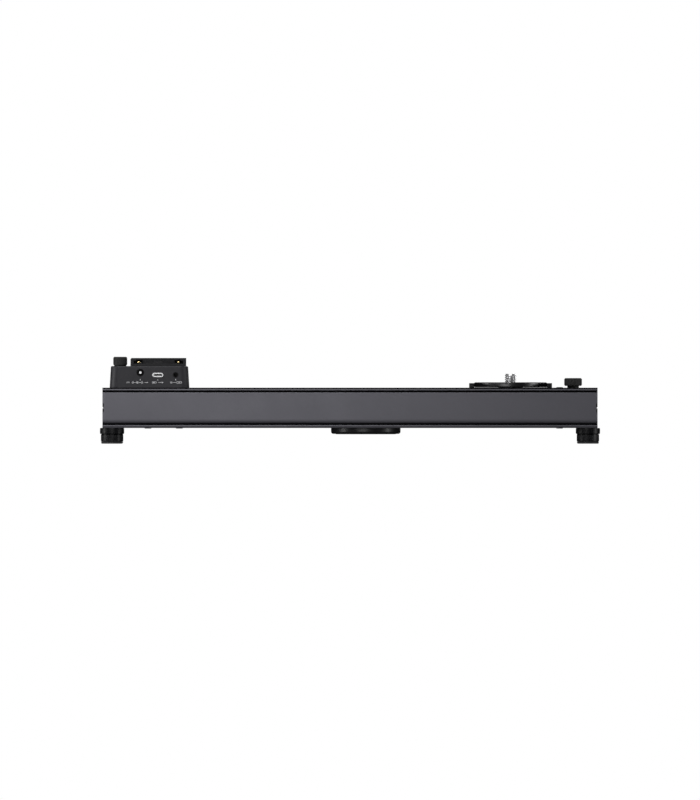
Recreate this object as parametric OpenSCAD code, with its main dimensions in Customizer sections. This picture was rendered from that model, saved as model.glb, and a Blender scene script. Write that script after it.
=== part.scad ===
// Motorised camera slider: a belt-driven carriage with a panning head runs on two steel rods
// inside an extruded rail. A control box with a battery plate sits over the drive end.
// X runs along the rail, Y across it and Z up. The origin is on the ground, under the rail's middle.

/* [Rail] */
// Length of the rail over both end plates
rail_length = 410; // [400:10:700]
// Height of the rail extrusion
rail_h = 33.4; // [33.4:0.1:34]
// Thickness of each end plate
end_plate_t = 2; // [1.5:0.1:2.4]
// Diameter of the steel guide rods
rod_d = 6; // [5.6:0.1:6]

/* [Feet] */
// Diameter of the fixed socket of each foot
foot_socket_d = 19.5; // [18.5:0.1:19.5]
// Diameter of the turning cup of each foot
foot_cup_d = 18; // [16:0.1:18]
// Height of the socket under the rail
foot_socket_h = 5; // [4.6:0.1:5]
// Height of the cup and its rubber pad together
foot_cup_h = 8; // [7.6:0.1:9]

/* [Control box] */
// Length of the control box at its foot
box_length = 65.6; // [65.6:0.1:66.4]
// Width of the control box across the slide
box_width = 76; // [76:0.5:80]
// Height of the control box above the rail
box_h = 17.9; // [17.9:0.1:18.4]
// Radius of the upright corners of the control box
box_corner_r = 7; // [4:0.5:8]
// Lean of each end face of the control box, foot to top
box_lean = 1.05; // [0.4:0.05:1.3]

/* [Head] */
// Length of the carriage's saddle along the rail
saddle_length = 68.4; // [66:0.1:70]
// Diameter of the panning plate
pan_d = 60.6; // [58:0.1:62]
// Diameter over the thread of the camera screw
camera_screw_d = 9.4; // [9:0.1:9.5]
// Height of the camera screw above the panning plate
camera_screw_h = 7; // [5:0.5:9]

/* [Tripod plate] */
// Diameter of the tripod plate under the rail
tripod_d = 57.7; // [56:0.1:60]
// Distance of the tripod plate from the rail's middle
tripod_x = 13.1; // [-20:0.1:20]

/* [Hidden] */
$fn = 64;

half_length = rail_length / 2;
bar_length = rail_length - 2 * end_plate_t; // the extrusion alone
rail_w = 80;
rail_z0 = foot_socket_h + foot_cup_h;
rail_z1 = rail_z0 + rail_h;
floor_t = 3;
floor_z = rail_z0 + floor_t;
wall_t = 4;
lip_t = 3;
mouth_half = 30; // half the width of the channel's mouth
groove_in = 1.4; // depth of the long grooves in the rail's sides
low_bead_h = 2.7;
top_bead_h = 2.3;
face_z0 = rail_z0 + 4.5;
face_z1 = rail_z1 - 3.6;
run = 0.07; // clearance of a shaft that turns in its hole
skin = 0.02; // clearance between two pieces that fit each other

rod_r = rod_d / 2;
rod_y = 32;
rod_z = rail_z0 + 20;
rib_h = 9;

motor_x = -half_length + 50.4;
motor_half = 17.6;
motor_hole = 13; // half the spacing of the motor's screw holes
motor_z0 = rail_z0 + 17;
motor_z1 = rail_z0 + 45;
bracket_t = 3;

idler_x = half_length - 19.9;
block_x0 = idler_x - 16.6;
block_x1 = half_length - end_plate_t - 0.2;
block_half = 28.5;
block_screw_x = block_x0 + 5.4;
block_screw_y = 20;

belt_z0 = rail_z0 + 6.5;
belt_w = 6;
belt_back = 0.65; // thickness of the belt behind its teeth
pulley_teeth = 20;
pulley_r = 6.11;
belt_in = pulley_r + 0.09;
belt_out = belt_in + belt_back;

carriage_x = idler_x - 51.9;
chassis_half_x = 31;
chassis_half_y = 28;
chassis_z0 = rail_z0 + 24.5;
saddle_z0 = chassis_z0 + 5.9;
saddle_z1 = rail_z1 + 3.8;
seat_half = pan_d / 2 + 0.12;
recess_z = rail_z1 + 0.3;
travel = idler_x - motor_x - 109.7;
roller_dx = 22;
roller_root_r = 5.85;
roller_r = 7.5;
roller_h = 8;
roller_dy = rod_y - rod_r - roller_root_r - 0.15;
axle_r = 2;

gear_module = 0.6;
gear_teeth = 50;
pinion_teeth = 16;
gear_z0 = chassis_z0 + 1.5;
gear_h = 2.2;
pinion_gap = (gear_teeth + pinion_teeth) * gear_module / 2;
hub_r = 10;
bearing_r = 13.5;
bearing_z0 = chassis_z0 + 4.6;
boss_r = 17.5;
boss_z0 = chassis_z0 + 4;

pan_z0 = rail_z1 + 0.4;
pan_z1 = rail_z1 + 4.1;
pad_h = 0.4;

box_x0 = -half_length + 5.9;
box_x1 = box_x0 + box_length;
box_mid = (box_x0 + box_x1) / 2;
box_z1 = rail_z1 + box_h;
box_wall = 2;
box_half = box_width / 2;
lean_angle = atan(box_lean / box_h);

battery_x = motor_x - 4.4;
battery_half = 22.85;
battery_floor = 2;
terminal_y = 22;
terminal_h = 6.8;
terminal_dx = 16.5;
pin_r = 1.5;
pin_z = box_z1 + 3.1;

port_z = rail_z1 + 10.6;
dc_x = battery_x - 14.7;
dc_z = rail_z1 + 12.5;
usb_x = battery_x - 0.2;
usb_w = 9;
usb_h = 3.3;
shutter_x = battery_x + 14.6;
board_z = rail_z1 + 6.4;
board_t = 1.6;
board_top = board_z + board_t;

strip_x = box_x0 + 8.7; // middle of the strip of controls beside the battery
dial_y = -24;
button_y = 27;
display_y = 3;
dial_z0 = box_z1 + 0.7;
dial_z1 = box_z1 + 7.7;
dial_collar_r = 5;
control_board_z = rail_z1 + 9;

foot_x = half_length - 7.6;
foot_y = 30;
foot_boss_r = 4.2;
stud_r = 2.93;
foot_pad_h = 1.7;

small_thread_x = 11.5; // the two small tripod threads, from the large one
end_screw_y = 38;
end_screw_z = [rail_z0 + 8, rail_z1 - 7.5];
strip_z = [rail_z0 + 13.9, rail_z0 + 19.5]; // heights of the two buffer strips
strip_r = 2.69; // radius of the strips' round backs
strip_out = 1.385; // how far outside the end face that radius is centred

// A square with four round corners, centred, made of true arcs.
module round_square(w, h, r) {
    square([w - 2 * r, h], center = true);
    square([w, h - 2 * r], center = true);
    for (x = [-1, 1], y = [-1, 1]) translate([x * (w / 2 - r), y * (h / 2 - r)]) circle(r);
}

// A 2D profile in the YZ plane, drawn out along X from x0 to x1.
module along_x(x0, x1) translate([x0, 0, 0]) rotate([90, 0, 90]) linear_extrude(x1 - x0) children();

// A block between two corners.
module block(low, high) translate(low) cube(high - low);

// An upright cylinder from z0 to z1.
module post(x, y, z0, z1, r) translate([x, y, z0]) cylinder(h = z1 - z0, r = r);

// A cylinder along Y from y0 to y1.
module bar_y(x, z, y0, y1, r) translate([x, y0, z]) rotate([-90, 0, 0]) cylinder(h = y1 - y0, r = r);

// A screw standing on its tip, with its head on top, ending at z.
module screw_down(x, y, z, head_r, head_h, r, length) {
    post(x, y, z, z + head_h, head_r);
    post(x, y, z - length, z, r);
}

// A screw driven upwards from a face at z.
module screw_up(x, y, z, head_r, head_h, r, length) {
    post(x, y, z - head_h, z, head_r);
    post(x, y, z, z + length, r);
}

// One involute tooth flank: the angle from the tooth's middle at radius r.
function involute(a) = tan(a) * 180 / PI - a;
function flank_angle(r, base_r, half_tooth) = half_tooth + involute(20) - involute(acos(min(1, base_r / r)));

// The outline of a spur gear with slack teeth.
module gear_outline(teeth, slack) {
    pitch_r = teeth * gear_module / 2;
    base_r = pitch_r * cos(20);
    tip_r = pitch_r + gear_module * 0.9;
    root_r = pitch_r - gear_module * 1.2;
    low_r = max(base_r, root_r + 0.05);
    half_tooth = 90 / teeth - slack / pitch_r * 90 / PI;
    radii = [root_r, for (i = [0:3]) low_r + (tip_r - low_r) * i / 3];
    rising = [for (r = radii) [r, -flank_angle(max(r, base_r), base_r, half_tooth)]];
    falling = [for (i = [len(radii) - 1:-1:0]) [radii[i], -rising[i][1]]];
    polygon([
        for (t = [0:teeth - 1], p = concat(rising, falling))
            [p[0] * cos(p[1] + t * 360 / teeth), p[0] * sin(p[1] + t * 360 / teeth)]
    ]);
}

// The toothed drum of a timing pulley between its two flanges.
module pulley_drum() {
    difference() {
        post(0, 0, belt_z0 - 0.2, belt_z0 + belt_w + 0.2, pulley_r);
        for (t = [0:pulley_teeth - 1]) rotate([0, 0, t * 360 / pulley_teeth])
            post(pulley_r + 0.05, 0, belt_z0 - 1, belt_z0 + belt_w + 1, 0.56);
    }
    post(0, 0, belt_z0 - 1, belt_z0 - 0.2, 8);
    post(0, 0, belt_z0 + belt_w + 0.2, belt_z0 + belt_w + 1, 8);
}

// The rail's outer section: a raised face on each side between two beads.
module rail_outline() {
    mid_z = (rail_z0 + rail_z1) / 2;
    translate([0, mid_z]) square([rail_w - 2 * groove_in, rail_h - 2], center = true);
    translate([0, rail_z0 + low_bead_h / 2]) round_square(rail_w, low_bead_h, 1.1);
    translate([0, rail_z1 - top_bead_h / 2]) round_square(rail_w, top_bead_h, 1);
    translate([0, (face_z0 + face_z1) / 2]) round_square(rail_w, face_z1 - face_z0, 1.3);
}

// The rail's whole section, open at the top, with a rib on each wall that holds a rod.
module rail_section() {
    difference() {
        rail_outline();
        difference() {
            translate([-rail_w / 2 + wall_t, floor_z]) square([rail_w - 2 * wall_t, rail_z1 - lip_t - floor_z]);
            for (s = [-1, 1]) translate([s * (rod_y + 2), rod_z]) square([4, rib_h], center = true);
        }
        translate([-mouth_half, rail_z1 - lip_t - 1]) square([2 * mouth_half, lip_t + 2]);
        for (s = [-1, 1]) translate([s * rod_y, rod_z]) circle(rod_r + skin);
    }
}

module rail() {
    color("dimgray") difference() {
        along_x(-bar_length / 2, bar_length / 2) rail_section();
        for (x = [-1, 1], y = [-1, 1]) {
            post(motor_x + x * motor_hole, y * motor_hole, rail_z0 - 1, floor_z + 1, 1.6);
            post(x * foot_x, y * foot_y, rail_z0 - 1, floor_z + 1, foot_boss_r + skin);
            post(tripod_x + x * 18, y * 18, rail_z0 - 1, floor_z + 1, 2.1);
            post(box_mid + x * 25, y * 33.5, rail_z1 - lip_t - 1, rail_z1 + 1, 1.6);
        }
        for (y = [-1, 1]) post(block_screw_x, y * block_screw_y, rail_z0 - 1, floor_z + 1, 1.6);
        post(tripod_x, 0, rail_z0 - 1, floor_z + 1, 8 + skin);
        for (x = [-1, 1]) post(tripod_x + x * small_thread_x, 0, rail_z0 - 1, floor_z + 1, 3.2);
        for (s = [-1, 1], y = [-1, 1], z = end_screw_z)
            translate([s * (bar_length / 2 - 7), y * end_screw_y, z]) rotate([0, 90, 0])
                cylinder(h = 16, r = 1, center = true);
    }
}

// The round-backed section of one buffer strip, drawn across the end plate.
module strip_bar(s, z, half_w, r) {
    translate([s * (half_length + strip_out), -half_w, z]) rotate([-90, 0, 0]) cylinder(h = 2 * half_w, r = r);
}

// An end plate with four countersunk holes and two grooves for the buffer strips.
module end_plate(s) {
    face_x = s * half_length;
    color("dimgray") difference() {
        along_x(min(face_x, face_x - s * end_plate_t), max(face_x, face_x - s * end_plate_t)) rail_outline();
        for (z = strip_z) strip_bar(s, z, rail_w, strip_r);
        for (y = [-1, 1], z = end_screw_z) translate([face_x, y * end_screw_y, z]) rotate([0, -s * 90, 0]) {
            translate([0, 0, -0.1]) cylinder(h = 1.1, r1 = 2.1, r2 = 1.15);
            cylinder(h = end_plate_t + 1, r = 1.15);
        }
    }
}

module end_plate_left() end_plate(-1);
module end_plate_right() end_plate(1);

module end_plate_screws() {
    color("black") for (s = [-1, 1], y = [-1, 1], z = end_screw_z)
        translate([s * half_length, y * end_screw_y, z]) rotate([0, -s * 90, 0]) difference() {
            union() {
                translate([0, 0, 0.1]) cylinder(h = 0.9, r1 = 1.85, r2 = 1.05);
                translate([0, 0, 0.1]) cylinder(h = 9, r = 0.97);
            }
            cylinder(h = 0.7, r = 0.7, $fn = 6);
        }
}

module end_buffer_strips() {
    color("black") for (s = [-1, 1], z = strip_z) intersection() {
        strip_bar(s, z, rail_w / 2 - 0.05, strip_r - skin);
        translate([s * (half_length - 2.5 - skin), 0, z]) cube([5, rail_w, 9], center = true);
    }
}

module guide_rods() {
    color("silver") for (s = [-1, 1]) translate([-bar_length / 2 + 0.1, s * rod_y, rod_z]) rotate([0, 90, 0])
        cylinder(h = bar_length - 0.2, r = rod_r);
}

// An upright rounded block whose two end faces lean inwards.
module leaning_box(inset, z0, z1) {
    difference() {
        translate([box_mid, 0, z0]) linear_extrude(z1 - z0)
            round_square(box_length - 2 * inset, box_width - 2 * inset, box_corner_r - inset);
        for (s = [-1, 1]) translate([s > 0 ? box_x1 - inset : box_x0 + inset, 0, rail_z1])
            rotate([0, -s * lean_angle, 0]) translate([s > 0 ? 0 : -20, -60, -2]) cube([20, 120, 60]);
    }
}

module control_box() {
    color("black") difference() {
        union() {
            difference() {
                leaning_box(0, rail_z1, box_z1);
                leaning_box(box_wall, rail_z1 - 1, box_z1 - box_wall);
            }
            for (x = [-1, 1], y = [-1, 1]) post(box_mid + x * 25, y * 33.5, rail_z1 + 1.7, board_z - 0.2, 2.8);
        }
        for (x = [-1, 1], y = [-1, 1]) {
            post(box_mid + x * 25, y * 33.5, rail_z1 + 1, board_z - 0.8, 1.45);
            post(battery_x + x * 9, y * 18 - 6, box_z1 - 3, box_z1 + 1, 1.25);
        }
        bar_y(dc_x, dc_z, -box_half - 1, -box_half + 3, 3.15);
        bar_y(shutter_x, port_z, -box_half - 1, -box_half + 3, 2.4);
        translate([usb_x, -box_half + 3, port_z]) rotate([90, 0, 0]) linear_extrude(4)
            round_square(usb_w + 0.1, usb_h + 0.1, usb_h / 2);
        post(strip_x, dial_y, box_z1 - 3, box_z1 + 1, dial_collar_r + 0.3);
        post(strip_x, button_y, box_z1 - 3, box_z1 + 1, 3.6);
        block([strip_x - 4.6, display_y - 12.6, box_z1 - 3], [strip_x + 4.6, display_y + 12.6, box_z1 + 1]);
        block([strip_x - 5.6, display_y - 14.1, box_z1 - 0.7], [strip_x + 5.6, display_y + 14.1, box_z1 + 1]);
        block([battery_x - 3.9, -33.4, box_z1 - 3], [battery_x + 3.9, -28.6, box_z1 + 1]);
    }
}

// The plate that closes the control box from below, with a window for the motor.
module control_box_base() {
    color("darkslategray") difference() {
        leaning_box(box_wall + 0.1, rail_z1, rail_z1 + 1.6);
        block([motor_x - motor_half - 0.5, -motor_half - 0.5, rail_z1 - 1],
              [motor_x + motor_half + 0.5, motor_half + 0.5, rail_z1 + 3]);
        for (x = [-1, 1], y = [-1, 1]) post(box_mid + x * 25, y * 33.5, rail_z1 - 1, rail_z1 + 3, 1.6);
    }
}

// A sliding plate for a camcorder battery: floor, four hooked side tabs and a terminal block.
module battery_plate() {
    floor_z1 = box_z1 + battery_floor;
    color("black") difference() {
        union() {
            block([battery_x - battery_half, -34, box_z1], [battery_x + battery_half, 34, floor_z1]);
            block([battery_x - battery_half, terminal_y, box_z1], [battery_x + battery_half, 34, box_z1 + terminal_h]);
            for (s = [-1, 1], y = [-30, -6]) {
                inner = battery_x + s * (battery_half - 2.2);
                outer = battery_x + s * battery_half;
                block([min(inner, outer), y, box_z1], [max(inner, outer), y + 16, floor_z1 + 4]);
                tip = battery_x + s * (battery_half - 4);
                block([min(tip, outer), y, floor_z1 + 2.6], [max(tip, outer), y + 16, floor_z1 + 4]);
            }
        }
        for (s = [-1, 1]) translate([battery_x + s * 16.9, terminal_y + 4, floor_z1 + 1.35])
            cube([7.2, 10, 3.7], center = true);
        block([battery_x - 3.9, -33.4, box_z1 - 1], [battery_x + 3.9, -28.6, floor_z1 + 1]);
        for (x = [-1, 1], y = [-1, 1]) {
            post(battery_x + x * 9, y * 18 - 6, box_z1 - 1, floor_z1 + 1, 1.3);
            translate([battery_x + x * 9, y * 18 - 6, floor_z1 - 1.1]) cylinder(h = 1.2, r1 = 1.3, r2 = 2.5);
        }
    }
}

module battery_terminal_pins() {
    color("goldenrod") for (s = [-1, 1]) {
        bar_y(battery_x + s * terminal_dx, pin_z, terminal_y + 1, terminal_y + 9, pin_r);
        translate([battery_x + s * terminal_dx, terminal_y + 1, pin_z]) sphere(pin_r);
    }
}

module dc_power_jack() {
    color("black") {
        difference() {
            block([dc_x - 4.5, -box_half + box_wall + skin, board_top], [dc_x + 4.5, -box_half + 15, dc_z + 3.3]);
            bar_y(dc_x, dc_z, -box_half, -box_half + 12, 2.8);
        }
        bar_y(dc_x, dc_z, -box_half + 2.6, -box_half + 12.5, 1);
    }
}

module usb_c_socket() {
    color("silver") {
        translate([usb_x, -box_half + 8, port_z]) rotate([90, 0, 0]) difference() {
            linear_extrude(8.1) round_square(usb_w, usb_h, usb_h / 2 - 0.02);
            translate([0, 0, 1.2]) linear_extrude(8) round_square(8.34, 2.56, 1.26);
        }
        block([usb_x - 3.35, -box_half + 1.2, port_z - 0.35], [usb_x + 3.35, -box_half + 7, port_z + 0.35]);
        block([usb_x - 4.4, -box_half + 3, board_top], [usb_x + 4.4, -box_half + 8, port_z - 1.5]);
    }
}

module shutter_jack() {
    color("black") difference() {
        union() {
            block([shutter_x - 3.2, -box_half + box_wall + skin, board_top],
                  [shutter_x + 3.2, -box_half + 15.5, port_z + 3]);
            bar_y(shutter_x, port_z, -box_half + 0.2, -box_half + 4, 2.35);
        }
        bar_y(shutter_x, port_z, -box_half - 1, -box_half + 14, 1.75);
    }
}

module main_board() {
    color("darkgreen") block([box_x0 + 5.4, -box_half + 2.6, board_z], [box_x1 - 5.4, -18.4, board_top]);
    color("black") {
        block([box_x0 + 6, -33, board_top], [box_x0 + 13, -26, board_top + 0.8]);
        post(box_x0 + 18.5, -22, board_top, board_top + 5, 2.5);
    }
}

// The board under the strip of controls, with the rotary encoder and the button's switch.
module control_board() {
    color("darkgreen") block([strip_x - 6, -31, control_board_z], [strip_x + 6, 33, control_board_z + 1.4]);
    color("silver") difference() {
        block([strip_x - 5.5, dial_y - 5.5, control_board_z + 1.4], [strip_x + 5.5, dial_y + 5.5, box_z1 - box_wall - 0.3]);
        post(strip_x, dial_y, control_board_z + 2.4, box_z1, 3.3);
    }
    color("black") block([strip_x - 3, button_y - 3, control_board_z + 1.4], [strip_x + 3, button_y + 3, box_z1 - 4.4]);
}

module display_window() {
    color("black") block([strip_x - 5.55, display_y - 14.05, box_z1 - 0.68], [strip_x + 5.55, display_y + 14.05, box_z1 + 0.02]);
}

module display_module() {
    color("midnightblue") block([strip_x - 4.5, display_y - 12.5, control_board_z + 1.5],
                                [strip_x + 4.5, display_y + 12.5, box_z1 - 0.75]);
}

// A square stepper motor hung with its shaft down.
module drive_motor() {
    color("black") difference() {
        union() {
            translate([motor_x, 0, motor_z0]) linear_extrude(motor_z1 - motor_z0)
                round_square(2 * motor_half, 2 * motor_half, 3);
            post(motor_x, 0, motor_z0 - 2, motor_z0, 11);
        }
        post(motor_x, 0, motor_z0 - 3, motor_z0 + 12, 2.5 + run);
        for (x = [-1, 1], y = [-1, 1]) post(motor_x + x * motor_hole, y * motor_hole, motor_z0 - 1, motor_z0 + 5, 1.55);
    }
}

// The bracket that carries the motor over the belt, with an upright stop for the carriage.
module motor_bracket() {
    stop_x1 = motor_x + 22.4;
    color("dimgray") difference() {
        union() {
            block([motor_x - 18, -20, motor_z0 - bracket_t], [stop_x1, 20, motor_z0]);
            block([stop_x1 - 4, -28.4, motor_z0 - bracket_t], [stop_x1, 28.4, rail_z1 - 0.2]);
            for (x = [-1, 1], y = [-1, 1]) post(motor_x + x * motor_hole, y * motor_hole, floor_z, motor_z0, 3.2);
        }
        post(motor_x, 0, motor_z0 - bracket_t - 1, motor_z0 + 1, 11 + run);
        for (y = [-1, 1]) translate([stop_x1 - 3, y * 15, rod_z + 6]) rotate([0, 90, 0]) cylinder(h = 4, r = 1.5 + skin);
        for (x = [-1, 1], y = [-1, 1]) post(motor_x + x * motor_hole, y * motor_hole, floor_z - 1, motor_z0 + 1, 1.6);
    }
}

module motor_screws() {
    color("black") for (x = [-1, 1], y = [-1, 1])
        screw_up(motor_x + x * motor_hole, y * motor_hole, rail_z0, 2.75, 0.5, 1.5, motor_z0 - rail_z0 + 4);
}

// The end block that holds the idler pulley and takes the lock knob.
module idler_block() {
    pocket_z0 = belt_z0 - 1.5;
    pocket_z1 = belt_z0 + belt_w + 7.2;
    color("black") difference() {
        union() {
            block([block_x0, -block_half, floor_z + 0.05], [block_x1, block_half, rail_z1]);
            block([block_x0, -mouth_half + 0.3, rod_z + 5], [block_x1, mouth_half - 0.3, rail_z1]);
        }
        block([block_x0 - 1, -9.5, pocket_z0], [idler_x + 11, 9.5, pocket_z1]);
        post(idler_x, 0, floor_z - 1, rail_z1, 2.5 + skin);
        post(idler_x, 0, pocket_z0, rail_z1 + 1, 3 + run);
        post(idler_x, 0, rail_z1 - 2.4, rail_z1 + 1, 5.4);
        for (y = [-1, 1]) {
            block([foot_x - 5.2, y > 0 ? 24.5 : -40, floor_z - 1], [half_length, y > 0 ? 40 : -24.5, floor_z + 4]);
            post(block_screw_x, y * block_screw_y, floor_z - 1, floor_z + 9, 1.45);
            post(block_screw_x, y * block_screw_y, rail_z1 - 10, rail_z1 + 1, 1.45);
            translate([block_x0 - 1, y * 15, rod_z + 6]) rotate([0, 90, 0]) cylinder(h = 4, r = 1.5 + skin);
        }
    }
}

module idler_axle() {
    color("silver") post(idler_x, 0, floor_z + 0.05, belt_z0 + belt_w + 2.8, 2.5);
}

// Screws of the end block, the tripod plate, the battery plate and the control box.
module housing_screws() {
    color("black") {
        for (y = [-1, 1]) {
            screw_down(block_screw_x, y * block_screw_y, rail_z1, 2.55, 0.5, 1.4, 9.5);
            screw_up(block_screw_x, y * block_screw_y, rail_z0, 2.55, 0.5, 1.4, 11);
        }
        for (x = [-1, 1], y = [-1, 1]) {
            screw_down(tripod_x + x * 18, y * 18, floor_z, 3.4, 1.2, 1.9, 6);
            screw_up(box_mid + x * 25, y * 33.5, rail_z1 - lip_t, 2.4, 1.3, 1.4, 8);
            translate([battery_x + x * 9, y * 18 - 6, box_z1 + battery_floor - 1.1]) cylinder(h = 1, r1 = 1.2, r2 = 2.2);
            post(battery_x + x * 9, y * 18 - 6, box_z1 - 3, box_z1 + battery_floor - 1, 1.2);
        }
    }
}

// One rubber buffer on its peg: from the wall at x0 to its tip at x1, the peg behind the wall.
module bumper(x0, x1, y) {
    peg = x1 > x0 ? -2.8 : 2.8;
    translate([min(x0, x1), y, rod_z + 6]) rotate([0, 90, 0]) cylinder(h = abs(x1 - x0), r = 3);
    translate([min(x0 + peg, x1), y, rod_z + 6]) rotate([0, 90, 0]) cylinder(h = abs(x1 - x0 - peg), r = 1.5);
}

// Rubber buffers that stop the carriage at each end.
module bumpers() {
    left_tip = carriage_x - travel - chassis_half_x - 0.3;
    right_tip = carriage_x + chassis_half_x + 0.3;
    color("black") for (y = [-15, 15]) {
        bumper(motor_x + 22.4 + skin, left_tip, y);
        bumper(block_x0 - skin, right_tip, y);
    }
}

// The closed belt, drawn as its plain band around both pulleys.
module drive_belt() {
    color("black") translate([0, 0, belt_z0]) linear_extrude(belt_w) difference() {
        belt_loop(belt_out);
        belt_loop(belt_in);
    }
}

module belt_loop(r) {
    translate([motor_x, 0]) circle(r);
    translate([idler_x, 0]) circle(r);
    translate([motor_x, -r]) square([idler_x - motor_x, 2 * r]);
}

// The round plate under the rail, with one large and two small tripod threads.
module tripod_plate() {
    z0 = rail_z0 - 4.9;
    r = tripod_d / 2;
    color("black") difference() {
        union() {
            translate([tripod_x, 0, 0]) rotate_extrude() {
                translate([0, z0]) square([r - 1.9, rail_z0 - z0]);
                translate([0, z0 + 1.9]) square([r, rail_z0 - z0 - 1.9]);
                translate([r - 1.9, z0 + 1.9]) circle(1.9);
            }
            post(tripod_x, 0, rail_z0 - 1, floor_z + 0.6, 8);
        }
        post(tripod_x, 0, z0 - 1, floor_z - 0.9, 3.97);
        for (x = [-1, 1]) post(tripod_x + x * small_thread_x, 0, z0 - 1, rail_z0 + 1, 2.55);
        difference() {
            post(tripod_x, 0, z0 - 1, z0 + 0.7, 25.1);
            post(tripod_x, 0, z0 - 2, z0 + 1, 14.9);
        }
        for (x = [-1, 1], y = [-1, 1]) post(tripod_x + x * 18, y * 18, z0 + 1.5, rail_z0 + 1, 2);
    }
}

module tripod_pad() {
    color("darkslategray") difference() {
        post(tripod_x, 0, rail_z0 - 5.2, rail_z0 - 4.25, 25);
        post(tripod_x, 0, rail_z0 - 6, rail_z0 - 4, 15);
    }
}

module foot_sockets() {
    color("black") for (x = [-1, 1], y = [-1, 1]) difference() {
        union() {
            post(x * foot_x, y * foot_y, foot_cup_h, rail_z0, foot_socket_d / 2);
            post(x * foot_x, y * foot_y, rail_z0 - 1, floor_z + 2.5, foot_boss_r);
        }
        post(x * foot_x, y * foot_y, foot_cup_h - 1, floor_z + 3, stud_r + run);
    }
}

module foot_cup(x, y) {
    color("black") difference() {
        union() {
            post(x * foot_x, y * foot_y, foot_pad_h + 0.05, foot_cup_h - 0.1, foot_cup_d / 2);
            post(x * foot_x, y * foot_y, foot_cup_h - 1, floor_z + 2, stud_r);
        }
        post(x * foot_x, y * foot_y, 0, foot_pad_h + 2.5, 2.6);
    }
}

module foot_pad(x, y) {
    color("darkslategray") {
        post(x * foot_x, y * foot_y, 0, foot_pad_h, foot_cup_d / 2 - 0.3);
        post(x * foot_x, y * foot_y, foot_pad_h - 0.5, foot_pad_h + 2.2, 2.5);
    }
}

module foot_cup_front_left() foot_cup(-1, -1);
module foot_cup_front_right() foot_cup(1, -1);
module foot_cup_rear_left() foot_cup(-1, 1);
module foot_cup_rear_right() foot_cup(1, 1);
module foot_pad_front_left() foot_pad(-1, -1);
module foot_pad_front_right() foot_pad(1, -1);
module foot_pad_rear_left() foot_pad(-1, 1);
module foot_pad_rear_right() foot_pad(1, 1);

// The carriage's body: it hangs in the rail's mouth and holds the gears.
module carriage_chassis() {
    color("dimgray") difference() {
        block([carriage_x - chassis_half_x, -chassis_half_y, chassis_z0],
              [carriage_x + chassis_half_x, chassis_half_y, saddle_z0]);
        post(carriage_x, 0, boss_z0 - 0.1, saddle_z0 + 1, boss_r + skin);
        post(carriage_x, 0, gear_z0 - 0.3, saddle_z0 + 1, 15.9);
        post(carriage_x - pinion_gap, 0, chassis_z0 - 1, boss_z0, 5.8);
        for (x = [-1, 1], y = [-1, 1]) {
            post(carriage_x + x * roller_dx, y * roller_dy, chassis_z0 - 1, chassis_z0 + 5, axle_r + skin);
            post(carriage_x + x * 26.5, y * 11, chassis_z0 - 1, saddle_z0 + 1, 1.6);
            post(carriage_x + x * 26.5, y * 11, chassis_z0 - 1, chassis_z0 + 2.6, 2.9);
        }
        for (x = [-6, 6]) post(carriage_x + clamp_dx + x, clamp_screw_y, chassis_z0 - 1, chassis_z0 + 1.8, 1.3);
    }
}
clamp_dx = 3.5; // the belt clamp's middle, along the carriage
clamp_half = 9;
clamp_screw_y = -13.2;

// The saddle on top of the carriage: a flat seat for the panning plate between two side bars,
// and a bored boss below for the bearing.
module carriage_saddle() {
    color("black") difference() {
        union() {
            translate([carriage_x, 0, saddle_z0]) linear_extrude(saddle_z1 - saddle_z0)
                round_square(saddle_length, 2 * chassis_half_y, 2);
            post(carriage_x, 0, boss_z0, saddle_z0 + 1, boss_r);
        }
        block([carriage_x - seat_half, -chassis_half_y - 1, recess_z],
              [carriage_x + seat_half, chassis_half_y + 1, saddle_z1 + 1]);
        post(carriage_x, 0, bearing_z0, saddle_z1, bearing_r);
        post(carriage_x, 0, boss_z0 - 1, bearing_z0 + 1, bearing_r - 1.5);
        for (x = [-1, 1], y = [-1, 1]) post(carriage_x + x * 26.5, y * 11, saddle_z0 - 1, recess_z - 0.4, 1.3);
    }
}

module carriage_screws() {
    color("black") {
        for (x = [-1, 1], y = [-1, 1])
            screw_up(carriage_x + x * 26.5, y * 11, chassis_z0 + 2.6, 2.75, 2.4, 1.25, recess_z - 0.6 - chassis_z0 - 2.6);
        for (x = [-6, 6]) screw_up(carriage_x + clamp_dx + x, clamp_screw_y, chassis_z0 - 2, 2.3, 1.4, 1.25, 3);
    }
}

module roller_axles() {
    color("silver") for (x = [-1, 1], y = [-1, 1]) {
        post(carriage_x + x * roller_dx, y * roller_dy, rod_z - 5.8, chassis_z0 + 5, axle_r);
        post(carriage_x + x * roller_dx, y * roller_dy, rod_z - 6.6, rod_z - 4.4, 3.4);
        post(carriage_x + x * roller_dx, y * roller_dy, rod_z + 4.1, chassis_z0, 3);
    }
}

// A grooved roller that runs along a rod.
module roller(x, y) {
    color("gainsboro") translate([carriage_x + x * roller_dx, y * roller_dy, rod_z]) rotate_extrude() difference() {
        translate([axle_r + run, -roller_h / 2]) square([roller_r - axle_r - run, roller_h]);
        translate([roller_root_r + rod_r + 0.15, 0]) circle(rod_r + 0.15);
    }
}

module roller_front_left() roller(-1, -1);
module roller_front_right() roller(1, -1);
module roller_rear_left() roller(-1, 1);
module roller_rear_right() roller(1, 1);

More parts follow.
